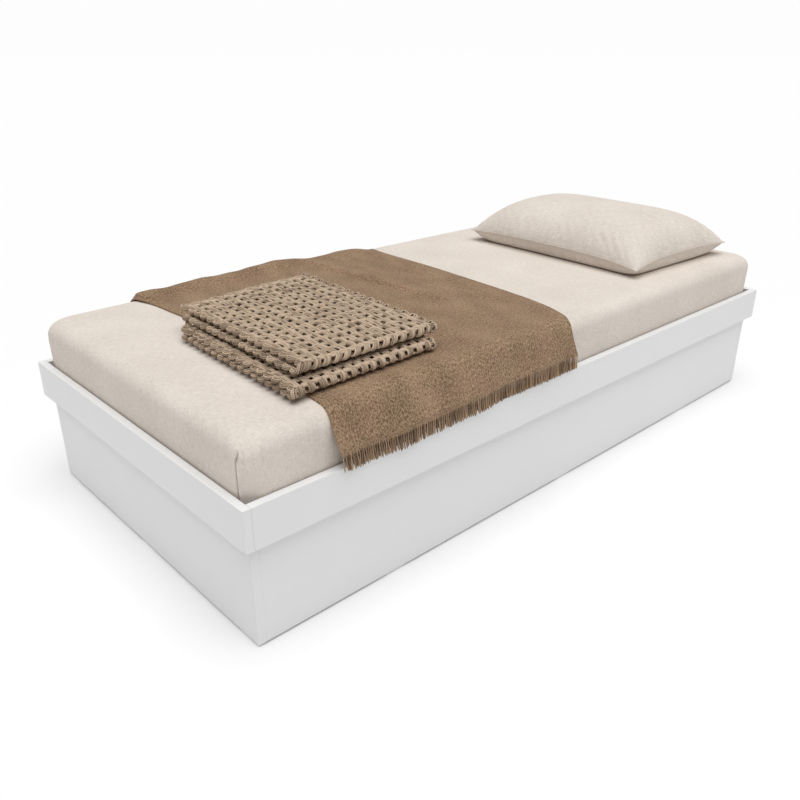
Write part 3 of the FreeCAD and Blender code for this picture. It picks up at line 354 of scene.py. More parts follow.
def circle(sides):
    """Points round a circle of radius one."""
    angle = np.arange(sides) * 2 * np.pi / sides
    return np.stack([np.cos(angle), np.sin(angle)], -1)


def turned(profile, sides, centre, radius, height, axes):
    """A small turned piece: circles at a profile's reaches and rises, about the last of three axes."""
    axes = np.array(axes, float)
    ring = circle(sides) @ axes[:2]
    rings = [centre + radius * reach * ring + height * rise * axes[2] for reach, rise in profile]
    return stacked_rings(rings)


def unit(vectors):
    """Vectors of length one."""
    return vectors / np.linalg.norm(vectors, axis=-1, keepdims=True)


def run_along(line):
    """How far along a line of points each of them is."""
    return np.concatenate([[0], np.cumsum(np.linalg.norm(np.diff(line, axis=0), axis=1))])


def tubes(lines, radius, sides, tone=0.5):
    """Closed tubes round many lines of as many points each; also each line's tone for all its points."""
    count, steps, _ = lines.shape
    heading = unit(np.gradient(lines, axis=1))
    aside = np.empty_like(heading)
    aside[:, 0] = unit(np.cross(heading[:, 0], FIRST_ASIDE))
    for step in range(1, steps):
        carried = aside[:, step - 1]
        along = (carried * heading[:, step]).sum(-1, keepdims=True)
        aside[:, step] = unit(carried - along * heading[:, step])
    across = np.cross(heading, aside)
    cos, sin = circle(sides).T[..., None]
    reach = np.broadcast_to(np.asarray(radius, float), (count, steps))
    ring = cos * aside[:, :, None] + sin * across[:, :, None]
    points = lines[:, :, None] + reach[:, :, None, None] * ring
    tube = np.concatenate([
        grid_faces(steps, sides, closed=True)[:, ::-1],
        ring_cap(sides, 0, flip=False),
        ring_cap(sides, (steps - 1) * sides, flip=True),
    ])
    faces = tube + (np.arange(count) * steps * sides)[:, None, None]
    tones = np.broadcast_to(np.reshape(tone, (-1, 1, 1)), (count, steps, sides))
    return points.reshape(-1, 3), faces.reshape(-1, 4), tones.reshape(-1)


def joined(parts):
    """Several sets of points, of faces and of any further values as one."""
    points, faces, *values = zip(*parts)
    shifts = np.cumsum([0] + [len(some) for some in points[:-1]])
    faces = [some + shift for some, shift in zip(faces, shifts)]
    return [np.concatenate(sets) for sets in (points, faces, *values)]


def thick_grid(middle, thickness):
    """A cloth of that thickness about a grid of points: closed, with its two faces and its four edges."""
    rows, columns, _ = middle.shape
    normal = unit(np.cross(np.gradient(middle, axis=1), np.gradient(middle, axis=0)))
    half = normal * np.broadcast_to(thickness / 2, (rows, columns))[..., None]
    points = np.concatenate([(middle + half).reshape(-1, 3), (middle - half).reshape(-1, 3)])
    top = grid_faces(rows, columns)
    count = rows * columns
    rim = border(np.arange(count).reshape(rows, columns))
    onward = np.roll(rim, -1)
    edge = np.stack([rim, rim + count, onward + count, onward], -1)
    return points, np.concatenate([top, top[:, ::-1] + count, edge[:, ::-1]])


# Shares and curves

EASED_STEPS = 1600
EASED_MARGIN = 3
EASED_REACH = 2.5


def smooth_step(low, high, value):
    """0 at low and before it, 1 at high and past it, and smooth between."""
    share = np.clip((value - low) / (high - low), 0, 1)
    return share * share * (3 - 2 * share)


def bell(distance, width):
    """A smooth hump of height one."""
    return np.exp(-(distance / width) ** 2)


def ridge(distance, before, after):
    """A hump of height one, with a width of its own on either side."""
    return bell(distance, np.where(distance < 0, before, after))


def wave(place, pitch, phase):
    """A wave between 0 and 1."""
    return (1 + np.sin(2 * np.pi * place / pitch + phase)) / 2


def eased(places, stops, values, width):
    """Values at stops, joined by lines whose corners are rounded off over a width."""
    margin = EASED_MARGIN * width
    reach = EASED_REACH * width
    fine = np.linspace(min(stops) - margin, max(stops) + margin, EASED_STEPS)
    weights = bell(np.arange(-reach, reach, fine[1] - fine[0]), width)
    padded = np.pad(np.interp(fine, stops, values), len(weights) // 2, mode="edge")
    rounded = np.convolve(padded, weights / weights.sum(), mode="valid")[:EASED_STEPS]
    return np.interp(places, fine, rounded)


# Camera, light and floor


def build_camera():
    """The camera where the photographer stood, and the Standard view transform."""
    data = bpy.data.cameras.new("camera")
    data.lens = CAMERA_LENS
    data.sensor_width = CAMERA_SENSOR
    data.clip_end = 4 * FLOOR_HALF
    level = math.cos(CAMERA_ELEVATION)
    back = Vector((
        math.sin(CAMERA_AZIMUTH) * level,
        -math.cos(CAMERA_AZIMUTH) * level,
        math.sin(CAMERA_ELEVATION),
    ))
    scene.camera = linked("camera", data, (-back).to_track_quat("-Z", "Y"))
    scene.camera.location = CAMERA_PLACE
    scene.view_settings.view_transform = "Standard"


def build_sky():
    """An even sky, which is white where it is seen."""
    world = bpy.data.worlds.new("studio")
    world.use_nodes = True
    tree = world.node_tree
    tree.nodes.clear()
    sky = add_node(tree, "Background", {"Strength": SKY_LEVEL})
    seen = add_node(tree, "Background", {"Color": (SEEN_WHITE, SEEN_WHITE, SEEN_WHITE, 1)})
    path = add_node(tree, "LightPath", {})
    shown = path.outputs["Is Camera Ray"]
    for ray in ("Is Glossy Ray", "Is Transmission Ray"):
        either = add_node(tree, "Math", {0: shown, 1: path.outputs[ray]}, operation="MAXIMUM")
        shown = either.outputs["Value"]
    ends = {1: sky.outputs["Background"], 2: seen.outputs["Background"]}
    mix = add_node(tree, "MixShader", {"Fac": shown, **ends})
    add_node(tree, "OutputWorld", {"Surface": mix.outputs["Shader"]})
    scene.world = world


def build_lamp():
    """A wide soft light from above."""
    lamp = bpy.data.lights.new("overhead", "SUN")
    lamp.energy = SUN_POWER
    lamp.angle = SUN_WIDTH
    linked("overhead", lamp, SUN_FROM.to_track_quat("Z", "Y"))


def build_floor():
    """A pale floor, just under the bed."""
    tone = (FLOOR_TONE, FLOOR_TONE, FLOOR_TONE, 1)
    paint = Finish("studio_floor", 1.0, Specular_IOR_Level=0.0, Base_Color=tone)
    corners = np.array(((-1, -1, 0), (1, -1, 0), (1, 1, 0), (-1, 1, 0))) * FLOOR_HALF - (0, 0, FLOOR_DROP)
    mesh_object("studio_floor", corners, [(0, 1, 2, 3)], paint.material)


# Rigid parts

SIDES = ("foot", "head", "near", "far")
BOARD_EDGE = 0.0007
BOARD_WELD = 0.00002


def soften_edges(board):
    """Rounds a board's edges a little and keeps its faces flat."""
    if "custom_normal" in board.data.attributes:
        board.data.attributes.remove(board.data.attributes["custom_normal"])
    board.data.shade_flat()
    weld = board.modifiers.new("weld", "WELD")
    weld.merge_threshold = BOARD_WELD
    soft = board.modifiers.new("softened_edges", "BEVEL")
    soft.width = BOARD_EDGE
    soft.segments = 2
    soft.limit_method = "ANGLE"
    soft.use_clamp_overlap = False


def dress_solids():
    """Finishes for the solids and softened edges for the rims; gives the foil and the steel."""
    foil = board_finish()
    zinc = metal_finish("zinc_plate", *ZINC, 0.28, 0.48)
    steel = metal_finish("drawn_spring_steel", *STEEL, 0.30, 0.50)
    pine_long = wood_finish("pine_along_the_bed", *PINE, "X")
    pine_cross = wood_finish("pine_across_the_bed", *PINE, "Y")
    beech = wood_finish("beech_upright", *BEECH, "Z")
    groups = [
        (foil, "white_board", [f"{side}_{part}" for side in SIDES for part in ("panel", "rim")]),
        (plastic_finish(), "white_glide", ["floor_glides"]),
        (pine_long, "pine", ["near_ledge", "far_ledge", "centre_beam"]),
        (pine_cross, "pine", [name for name in nodes if name.startswith("base_slat")]),
        (beech, "beech", ["beam_legs", "corner_dowels"]),
        (zinc, "zinc", ["beam_hangers", "cam_locks", "cam_bolts"]),
        (zinc, "zinc", ["rim_screws", "ledge_screws", "slat_screws", "hanger_screws"]),
        (steel, "spring_steel", ["border_wire", "long_grid_wires", "cross_grid_wires"]),
    ]
    for side in SIDES:
        soften_edges(nodes[f"{side}_rim"])
    for material, slot, names in groups:
        for name in names:
            nodes[name].data.materials.clear()
            nodes[name].data.materials.append(material)
    return foil, steel


# Rim pin caps

CAP_RADIUS = 0.0023
CAP_STANDS = 0.0003
CAP_SIDES = 16
CAP_SHARES = ((1.0, 0.0), (1.0, 0.6), (0.85, 0.95), (0.4, 1.0))
CAPS_EACH_WAY = 2
CAP_PITCH = 0.334
CAP_RISE = 0.009
END_CAP_INSET = 0.0074
END_CAP_RISE = 0.0446


def build_caps(material):
    """Small flush caps over the pins along the rim's outside, each a shallow dome."""
    parts = []

    def cap(centre, outward):
        axes = (np.cross(outward, UP), UP, outward)
        parts.append(turned(CAP_SHARES, CAP_SIDES, np.array(centre), CAP_RADIUS, CAP_STANDS, axes))

    for node, outward in (("near_rim", -1), ("far_rim", 1)):
        low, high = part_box(node)
        face = low.y if outward < 0 else high.y
        for place in range(-CAPS_EACH_WAY, CAPS_EACH_WAY + 1):
            cap((place * CAP_PITCH, face, low.z + CAP_RISE), (0, outward, 0))
    for node, outward in (("foot_rim", -1), ("head_rim", 1)):
        low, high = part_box(node)
        face = low.x if outward < 0 else high.x
        for y in (low.y + END_CAP_INSET, high.y - END_CAP_INSET):
            cap((face, y, low.z + END_CAP_RISE), (outward, 0, 0))
    caps = mesh_object("rim_pin_caps", *joined(parts), material)
    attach(caps, "case")


# Springs

SPRING_ROWS = 10
SPRING_COLUMNS = 5
SPRING_TURNS = 5
SPRING_WIRE = 0.004
SPRING_WAIST = 0.026
SPRING_END = 0.040
SPRING_HEIGHT = 0.130
SPRING_STEPS_A_TURN = 30
SPRING_SIDES = 10


def build_springs(material):
    """Waisted coil springs in rows."""
    turn = np.linspace(0, SPRING_TURNS, SPRING_TURNS * SPRING_STEPS_A_TURN + 1)
    share = turn / SPRING_TURNS
    radius = SPRING_WAIST + (SPRING_END - SPRING_WAIST) * (2 * share - 1) ** 2
    rise = (SPRING_HEIGHT - SPRING_WIRE) * (share - np.sin(2 * np.pi * share) / (2 * np.pi))
    coil = np.stack([radius * np.cos(2 * np.pi * turn), radius * np.sin(2 * np.pi * turn), rise], -1)
    wires_low, wires_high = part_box("long_grid_wires")
    edge = (wires_high.y - wires_low.y - SPRING_WIRE) / 2
    columns = np.linspace(-edge, edge, SPRING_COLUMNS)
    for row in range(1, SPRING_ROWS + 1):
        node = f"spring_row_{row:02d}"
        slat_low, slat_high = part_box(f"base_slat_{row:02d}")
        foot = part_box(node)[0].z
        middle = (slat_low.x + slat_high.x) / 2
        lines = np.stack([coil + (middle, y, foot + SPRING_WIRE / 2) for y in columns])
        points, faces, _ = tubes(lines, SPRING_WIRE / 2, SPRING_SIDES)
        springs = mesh_object(f"coil_springs_{row:02d}", points, faces, material)
        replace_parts(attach(springs, "case"), node)
        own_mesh(springs)


# Round-cornered slabs: the deck's felt and cover, and the felt under the middle legs

LEAST_SIDE = 0.0001
SLAB_MIDDLE = 0.01
SLAB_CORNER = 0.02
SLAB_CORNER_SHARE = 0.5
SLAB_EDGE_SHARES = (0.5, 0.15, 0.0)
SLAB_FOOT_SHARES = ((0.0, 0.5), (0.3, 0.0))
SLAB_RINGS = 40
SLAB_CORNER_STEPS = 6
PAD_EDGE = 0.003
PAD_STEPS = (180, 84)
NEEDLED_DEPTH = 0.0004
NEEDLED_WAVES = (90, 80)
COVER_EDGE = 0.002
COVER_STEPS = (220, 100)
QUILT_PITCH = 0.105
QUILT_DEPTH = 0.0028
QUILT_POWER = 6
DISC_SIDES = 32
DISC_SHARES = ((0.3, 1.0), (0.9, 1.0), (1.0, 0.8), (1.0, 0.2), (0.9, 0.0), (0.3, 0.0))


def ring_points(half_x, half_y, radius, along_x, along_y, corner):
    """Points round a rectangle with round corners, as many at any size, from the +X side round by +Y."""
    turn = np.arange(corner + 1) / corner * np.pi / 2
    centres = np.array(((1, 1), (-1, 1), (-1, -1), (1, -1))) * (half_x - radius, half_y - radius)
    points = []
    for quarter, (centre, onward) in enumerate(zip(centres, np.roll(centres, -1, axis=0))):
        angle = quarter * np.pi / 2 + turn
        arc = centre + radius * np.stack([np.cos(angle), np.sin(angle)], -1)
        steps = (along_x, along_y)[quarter % 2]
        points += [arc[:-1], arc[-1] + np.arange(steps)[:, None] / steps * (onward - centre)]
    return np.concatenate(points)


def slab(name, node, material, edge, top, steps):
    """A soft slab in a node's box: rounded edges, and a top whose height is a function of the place."""
    low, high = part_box(node)
    half_x = (high.x - low.x) / 2
    half_y = (high.y - low.y) / 2
    inmost = half_y - SLAB_MIDDLE
    rings = []

    def outline(inset):
        radius = min(SLAB_CORNER + SLAB_CORNER_SHARE * inset, half_y - inset - LEAST_SIDE)
        return ring_points(half_x - inset, half_y - inset, radius, *steps, SLAB_CORNER_STEPS)

    for inset in (*np.linspace(inmost, edge, SLAB_RINGS), *np.multiply(edge, SLAB_EDGE_SHARES)):
        flat = outline(inset)
        fall = edge * (1 - math.sqrt(1 - (1 - min(inset, edge) / edge) ** 2))
        level = top(flat[:, 0], flat[:, 1]) - fall
        rings.append(np.column_stack([flat, high.z + np.minimum(level, 0)]))
    for inset, rise in (*np.multiply(edge, SLAB_FOOT_SHARES), (inmost, 0.0)):
        flat = outline(inset)
        rings.append(np.column_stack([flat, np.full(len(flat), low.z + rise)]))
    points, faces = stacked_rings(rings)
    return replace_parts(mesh_object(name, points, faces, material, {"flat": points * (1, 1, 0)}), node)


def quilted(x, y):
    """Depth of diamond quilting: deepest along its stitched lines."""
    from_lines = [np.abs((way / QUILT_PITCH) % 1 - 0.5) * 2 for way in (x + y, x - y)]
    return -QUILT_DEPTH * np.maximum(*from_lines) ** QUILT_POWER


def needled(x, y):
    """Depth of the felt's shallow waves."""
    return -NEEDLED_DEPTH * (1 + np.sin(NEEDLED_WAVES[0] * x) * np.sin(NEEDLED_WAVES[1] * y))


def build_deck_cloths(felt):
    """The felt pad on the wire grid and the quilted cover over it."""
    pad = slab("needled_pad", "insulator_pad", felt, PAD_EDGE, needled, PAD_STEPS)
    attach(pad, "deck")
    cloth = woven_finish("deck_cloth", *DECK_CLOTH, 900.0, 60.0, 0.0002)
    cover = slab("quilted_deck_cover", "deck_cover", cloth, COVER_EDGE, quilted, COVER_STEPS)
    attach(cover, "deck")


def build_leg_pads(felt):
    """Felt discs under the three middle legs."""
    low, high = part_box("leg_pads")
    radius = (high.y - low.y) / 2
    parts = []
    for x in (low.x + radius, (low.x + high.x) / 2, high.x - radius):
        centre = np.array((x, 0, low.z))
        parts.append(turned(DISC_SHARES, DISC_SIDES, centre, radius, high.z - low.z, np.eye(3)))
    pads = mesh_object("felt_leg_pads", *joined(parts), felt)
    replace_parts(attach(pads, "case"), "leg_pads")


# Mattress and fitted sheet

SHEET_LOW, SHEET_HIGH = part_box("fitted_sheet")
BED_HALF_X = (SHEET_HIGH.x - SHEET_LOW.x) / 2
BED_HALF_Y = (SHEET_HIGH.y - SHEET_LOW.y) / 2
RIM_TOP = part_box("near_rim")[1].z
RIM_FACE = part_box("far_rim")[1].y
BED_CROWN = 0.005
BED_BALL = (BED_HALF_X ** 2 + BED_HALF_Y ** 2) / (2 * BED_CROWN)
BED_MIDDLE = 0.015
BED_CORNER = 0.045
BED_CORNER_SHARE = 0.55
BED_EDGE = 0.034
BED_FOOT_EDGE = 0.012
BED_FOOT_RISE = 0.0006
BED_WIDEST = 0.100
BED_TUCK = 0.001
BED_TUCK_BELOW_RIM = 0.006
BED_SIDE_RUN = 0.10
BED_FOOT_RUN = 0.12
BED_HEM_RUN = 0.13
BED_TOP_RINGS = 34
BED_EDGE_RINGS = 11
BED_SIDE_RINGS = 22
BED_FOOT_RINGS = 6
BED_HEM_RINGS = 5
SHEET_HEM = 0.055
SHEET_STEPS = (170, 78, 110)
CREASE_DEGREES = 22.3
CREASE_HOOK_DEGREES = 8.0
CREASE_HOOK_FROM = 0.385
CREASE_END = 0.404
CREASE_FADES_FROM = CREASE_END - 0.004
CREASE_FADES_TO = CREASE_END + 0.006
CREASE_DEPTH = 0.0086
CREASE_WIDTH = 0.0015
CREASE_LAP = 0.0026
CREASE_LAP_EDGE = 0.0012
CREASE_LAP_WIDTH = 0.026
CORE_INSET = 0.0035
CORE_CORNER = 0.066
CORE_MIDDLE = 0.06
CORE_STEPS = (120, 56, 16)


def crowned(x, y):
    """Height of the sheet's slightly crowned top."""
    return SHEET_HIGH.z - (x ** 2 + y ** 2) / (2 * BED_BALL)


def crease(z, steps):
    """How far the sheet stands out or draws in at each point of a ring, for the lap at its corners."""
    along_x, along_y, corner = steps
    line = CREASE_DEGREES + CREASE_HOOK_DEGREES * smooth_step(CREASE_HOOK_FROM, CREASE_END, z)
    moved = np.zeros(len(z))
    arc = np.arange(corner) / corner * 90.0
    first = 0
    for quarter in range(4):
        turn = arc if quarter % 2 == 0 else 90.0 - arc
        here = slice(first, first + corner)
        gap = np.radians(turn - line[here]) * BED_CORNER
        lap = CREASE_LAP * smooth_step(-CREASE_LAP_EDGE, CREASE_LAP_EDGE, gap) * bell(gap, CREASE_LAP_WIDTH)
        fade = smooth_step(CREASE_FADES_TO, CREASE_FADES_FROM, z[here])
        moved[here] = (lap - CREASE_DEPTH * bell(gap, CREASE_WIDTH)) * fade
        first += corner + (along_x, along_y)[quarter % 2]
    return moved


def bed_rings(inset_all, corner, steps, creased, hem):
    """Rings of the mattress form, from the middle of its top over its edge, down its side and under it."""
    outward = unit(ring_points(1.0, 1.0, 1.0, *steps))
    edge = BED_EDGE - inset_all
    foot = SHEET_LOW.z + BED_FOOT_RISE + inset_all / 2
    rings = []
    flats = []

    def outline(inset):
        total = inset + inset_all
        radius = corner - inset_all + (BED_CORNER_SHARE * inset if inset > edge else 0.0)
        radius = min(radius, BED_HALF_Y - total - LEAST_SIDE)
        return ring_points(BED_HALF_X - total, BED_HALF_Y - total, radius, *steps)

    def keep(flat, z, out, run):
        level = np.broadcast_to(z, len(flat))
        rings.append(np.column_stack([flat + outward * np.reshape(out, (-1, 1)), level]))
        flats.append(np.column_stack([flat + outward * run, np.zeros(len(flat))]))

    def top(flat):
        return crowned(flat[:, 0], flat[:, 1]) - inset_all

    def lap(z):
        return crease(z, steps) if creased else 0.0

    for inset in np.linspace(BED_HALF_Y - inset_all - BED_MIDDLE, edge, BED_TOP_RINGS):
        flat = outline(inset)
        keep(flat, top(flat), 0.0, 0.0)
    for angle in np.linspace(0, math.pi / 2, BED_EDGE_RINGS)[1:]:
        flat = outline(edge * (1 - math.sin(angle)))
        z = top(flat) - edge * (1 - math.cos(angle))
        keep(flat, z, lap(z), edge * angle - edge * math.sin(angle))
    flat = outline(0.0)
    for share in np.linspace(0, 1, BED_SIDE_RINGS)[1:]:
        z = (top(flat) - edge) * (1 - share) + (foot + BED_FOOT_EDGE) * share
        tuck = BED_TUCK * smooth_step(SHEET_LOW.z + BED_WIDEST, RIM_TOP - BED_TUCK_BELOW_RIM, z)
        keep(flat, z, lap(z) - tuck, share * BED_SIDE_RUN)
    for angle in np.linspace(0, math.pi / 2, BED_FOOT_RINGS)[1:]:
        rise = BED_FOOT_EDGE * (1 - math.sin(angle))
        draw = BED_FOOT_EDGE * (1 - math.cos(angle))
        keep(flat, foot + rise, -BED_TUCK - draw, BED_FOOT_RUN)
    for share in np.linspace(0, 1, BED_HEM_RINGS)[1:]:
        keep(outline(hem * share), foot, -BED_TUCK - BED_FOOT_EDGE, BED_HEM_RUN + hem * share)
    return rings, np.concatenate(flats)


def build_mattress():
    """The foam mattress in its ticking, and the linen sheet stretched over it."""
    ticking = woven_finish("mattress_ticking", *TICKING, 700.0, 40.0, 0.0003)
    rings, flat = bed_rings(CORE_INSET, CORE_CORNER, CORE_STEPS, False, BED_HALF_Y - CORE_MIDDLE)
    core = mesh_object("foam_mattress", *stacked_rings(rings), ticking, {"flat": flat})
    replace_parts(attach(core, "mattress"), "mattress")

    linen = woven_finish("sheet_linen", *LINEN, 560.0, 60.0, 0.00035)
    rings, flat = bed_rings(0.0, BED_CORNER, SHEET_STEPS, True, SHEET_HEM)
    points, faces = stacked_rings(rings, closed_bottom=False)
    sheet = mesh_object("linen_fitted_sheet", points, faces, linen, {"flat": flat})
    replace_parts(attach(sheet, "mattress"), "fitted_sheet")


# Pillow

PILLOW_STEPS = (64, 86)
PILLOW_STEP_POWER = 1.5
PILLOW_HALF = (0.2406, 0.3254)
PILLOW_PLACE = (0.6594, -0.0414)
PILLOW_TURN = math.radians(-2.33)
PILLOW_DRAWN_IN_SHARES = (0.010, 0.020)
PILLOW_SEAM = 0.043
PILLOW_TIP = 0.0335
PILLOW_NEAR_TIP = 0.0250
PILLOW_TIP_POWER = 3.06
PILLOW_RISE = 0.0970
PILLOW_ROUND = (2.34, 5.18)
PILLOW_FULLNESS = 0.58
PILLOW_UNDER = 0.106
PILLOW_UNDER_FULLNESS = 0.48
PILLOW_SETTLE = 0.006
PILLOW_GAP = 0.0004
PILLOW_PRESSURE = 4.0
PILLOW_FRAMES = 20
PILLOW_SWELL = 0.004
LEAST_MOVE = 1e-9
PILLOW_PUCKER = 0.0011
PILLOW_PUCKER_SHARE = 0.10
PILLOW_RIPPLE = 0.037
PILLOW_RIPPLE_GROUP = 0.29
PILLOW_RIPPLE_PHASES = (1.3, 0.4)
PILLOW_CORNER_RIPPLE = 0.034
PILLOW_CORNER_SLANT = 1.3
PILLOW_CORNER_SHARE = 1.6
PILLOW_UNDER_SHIFT = (2.0, 0, 0)
PILLOW_FILL_INSET = 0.004
PILLOW_SEAM_CORD = 0.0013
PILLOW_SEAM_SIDES = 8
CLOTH_SETTINGS = {
    "quality": 6,
    "mass": 0.3,
    "air_damping": 4.0,
    "tension_stiffness": 30.0,
    "compression_stiffness": 30.0,
    "shear_stiffness": 10.0,
    "bending_stiffness": 0.8,
    "use_pressure": True,
    "uniform_pressure_force": PILLOW_PRESSURE,
}


def edge_steps(count):
    """Places from -1 to 1, closer together towards both ends."""
    even = np.linspace(-1, 1, count + 1)
    return np.sign(even) * (1 - (1 - np.abs(even)) ** PILLOW_STEP_POWER)


def pillow_pucker(x, y, near_corner, from_seam):
    """Height of the ripples that the seam draws into the cloth beside it."""
    turn = 2 * np.pi
    first, second = PILLOW_RIPPLE_PHASES
    ripple = np.sin(turn * (y - x) / PILLOW_RIPPLE + first)
    ripple = ripple * np.sin(turn * (x + y) / PILLOW_RIPPLE_GROUP + second)
    corner = np.sin(turn * (y - PILLOW_CORNER_SLANT * x) / PILLOW_CORNER_RIPPLE)
    ripple = ripple + PILLOW_CORNER_SHARE * near_corner * corner
    reach = from_seam / PILLOW_PUCKER_SHARE
    return PILLOW_PUCKER * ripple * reach * np.exp(1 - reach)


def pillow_surface(across, along, side):
    """Places on the pillow's upper side, for a side of 1, or its lower side, for one of -1."""
    x = PILLOW_HALF[0] * across * (1 - PILLOW_DRAWN_IN_SHARES[0] * (1 - along ** 2))
    y = PILLOW_HALF[1] * along * (1 - PILLOW_DRAWN_IN_SHARES[1] * (1 - across ** 2))
    near_corner = ((1 - across) * (1 - along) / 4) ** 2
    tip = PILLOW_TIP + (PILLOW_NEAR_TIP - PILLOW_TIP) * near_corner
    seam = PILLOW_SEAM - (PILLOW_SEAM - tip) * np.abs(across * along) ** PILLOW_TIP_POWER
    puff = (1 - np.abs(across) ** PILLOW_ROUND[0]) * (1 - np.abs(along) ** PILLOW_ROUND[1])
    puff = np.clip(puff, 0, 1)
    if side > 0:
        from_seam = 1 - np.maximum(np.abs(across), np.abs(along))
        z = seam + PILLOW_RISE * puff ** PILLOW_FULLNESS + pillow_pucker(x, y, near_corner, from_seam)
    else:
        z = seam - PILLOW_UNDER * puff ** PILLOW_UNDER_FULLNESS
        z = (z + np.sqrt(z ** 2 + PILLOW_SETTLE ** 2)) / 2
    cos, sin = math.cos(PILLOW_TURN), math.sin(PILLOW_TURN)
    plan_x = PILLOW_PLACE[0] + x * cos - y * sin
    plan_y = PILLOW_PLACE[1] + x * sin + y * cos
    return np.stack([plan_x, plan_y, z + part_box("pillowcase")[0].z], -1)


def pillow_mesh(material):
    """Two sides of cloth joined all round by the seam; also where the seam runs."""
    across, along = np.meshgrid(*map(edge_steps, PILLOW_STEPS))
    above = pillow_surface(across, along, 1)
    below = pillow_surface(across, along, -1)
    top = np.arange(across.size).reshape(across.shape)
    inner = np.zeros(top.shape, bool)
    inner[1:-1, 1:-1] = True
    under = top.copy()
    under[inner] = across.size + np.arange(inner.sum())
    points = np.concatenate([above.reshape(-1, 3), below[inner]])
    faces = np.concatenate([quads(top), quads(under)[:, ::-1]])
    flat = np.stack([across * PILLOW_HALF[0], along * PILLOW_HALF[1], np.zeros_like(across)], -1)
    flat = np.concatenate([flat.reshape(-1, 3), flat[inner] + PILLOW_UNDER_SHIFT])
    case = mesh_object("linen_pillowcase", points, faces, material, {"flat": flat})
    return case, np.append(border(top), top[0, 0])


def blown_up(piece):
    """Where the points of a closed cloth come to rest when it is blown up a little."""
    start = points_of(piece.data)
    cloth = piece.modifiers.new("cloth", "CLOTH")
    for setting, value in CLOTH_SETTINGS.items():
        setattr(cloth.settings, setting, value)
    cloth.settings.effector_weights.gravity = 0.0
    cloth.point_cache.frame_end = PILLOW_FRAMES
    for step in range(1, PILLOW_FRAMES + 1):
        scene.frame_set(step)
    blown = points_of(piece.evaluated_get(bpy.context.evaluated_depsgraph_get()).data)
    piece.modifiers.remove(cloth)
    scene.frame_set(1)
    move = blown - start
    length = np.linalg.norm(move, axis=1, keepdims=True)
    return start + move * np.minimum(1, PILLOW_SWELL / np.maximum(length, LEAST_MOVE))


def build_pillow():
    """The pillow in its linen case: cloth blown full, settled on the sheet, with its seam."""
    linen = woven_finish("pillowcase_linen", *LINEN, 440.0, 46.0, 0.00045)
    case, seam = pillow_mesh(linen)
    places = blown_up(case)
    places[seam] = points_of(case.data)[seam]
    case.data.vertices.foreach_set("co", places.ravel())
    places = points_of(case.data)
    places[:, 2] = np.maximum(places[:, 2], crowned(places[:, 0], places[:, 1]) + PILLOW_GAP)
    case.data.vertices.foreach_set("co", places.ravel())
    case.data.update()
    finer = case.modifiers.new("finer", "SUBSURF")
    finer.levels = finer.render_levels = 1
    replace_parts(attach(case, "pillow"), "pillowcase")

    points, faces, _ = tubes(places[seam][None], PILLOW_SEAM_CORD, PILLOW_SEAM_SIDES)
    cord = mesh_object("pillowcase_seam", points, faces, linen, {"flat": points * (1, 1, 0)})
    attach(cord, "pillow")

    inside = places - points_of(case.data, "normal") * PILLOW_FILL_INSET
    faces = [polygon.vertices[:] for polygon in case.data.polygons]
    ticking = woven_finish("pillow_ticking", *TICKING, 700.0, 40.0, 0.0003)
    fill = mesh_object("filled_pillow", inside, faces, ticking, {"flat": inside * (1, 1, 0)})
    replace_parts(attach(fill, "pillow"), "pillow")


# Throw

THROW_CLOTH = 0.0036
THROW_LIFT = 0.0006
THROW_FALL = 0.024
THROW_LINE_STEP = 0.001
THROW_ARC_STEPS = 40
THROW_TOP_STEPS = 116
THROW_FALL_STEPS = 9
THROW_ACROSS_STEPS = 126
KNEE_OUT = 0.0042
KNEE_RISE = 0.042
KNEE_SETTLE = 0.06
HEM_CLEAR = 0.002
HEM_EASE = 0.05
HEM_STOPS = (-0.76, -0.60, -0.42, -0.25, -0.10, 0.10)
NEAR_HEM = (0.028, 0.024, 0.028, 0.036, 0.035, 0.033)
FAR_HEM = (0.030, 0.026, 0.032, 0.035, 0.028, 0.034)
FOOT_EASE = 0.03
FOOT_STOPS = (-0.56, -0.43, -0.40, -0.36, -0.26, -0.20, 0.0, 0.2, 0.40, 0.46, 0.56)
FOOT_EDGE = (-0.714, -0.722, -0.711, -0.700, -0.696, -0.692, -0.702, -0.730, -0.753, -0.760, -0.757)
FOOT_SETTLE = (-0.004, 0.014)
HEAD_EASE = 0.028
HEAD_STOPS = (-0.56, -0.43, -0.30, -0.20, 0.0, 0.175, 0.287, 0.365, 0.425, 0.47, 0.56)
HEAD_EDGE = (0.088, 0.100, 0.084, 0.074, 0.057, 0.043, 0.028, 0.008, -0.018, -0.027, -0.024)
SELVEDGE_STEPS = np.array((0.0, 0.0010, 0.0022, 0.0036, 0.0048, 0.0060, 0.0080, 0.0115))
SELVEDGE_WIDTH = 0.017
SELVEDGE_BEAD = (0.45, 0.0020, 0.0022)
SELVEDGE_GROOVE = (0.35, 0.0055, 0.0011)
ROLL_EASE = 0.022
ROLL_RUN = -0.415
ROLL_WIDTHS = (0.030, 0.036)
ROLL_MEAN = 0.012
ROLL_RISING_SHARE = 0.55
ROLL_RISING_RUN = (-0.05, -0.40)
ROLL_INLAND = (ROLL_RUN - 0.015, ROLL_RUN + 0.085)
FAR_ROLL_STOPS = (
    -0.74, -0.68, -0.61, -0.55, -0.475, -0.40, -0.31, -0.22, -0.13, -0.05, -0.01, 0.04, 0.085, 0.11,
)
FAR_ROLL = (
    0.0165, 0.0135, 0.0139, 0.0155, 0.016, 0.014, 0.0204, 0.0165, 0.0078, 0.0122, 0.0124, 0.0065, 0.002, 0.0,
)
CREST_WIDTHS = (0.010, 0.042)
CREST_RUN = (-0.435, 0.069, 0.275)
CREST_X = (-0.179, -0.145, -0.114)
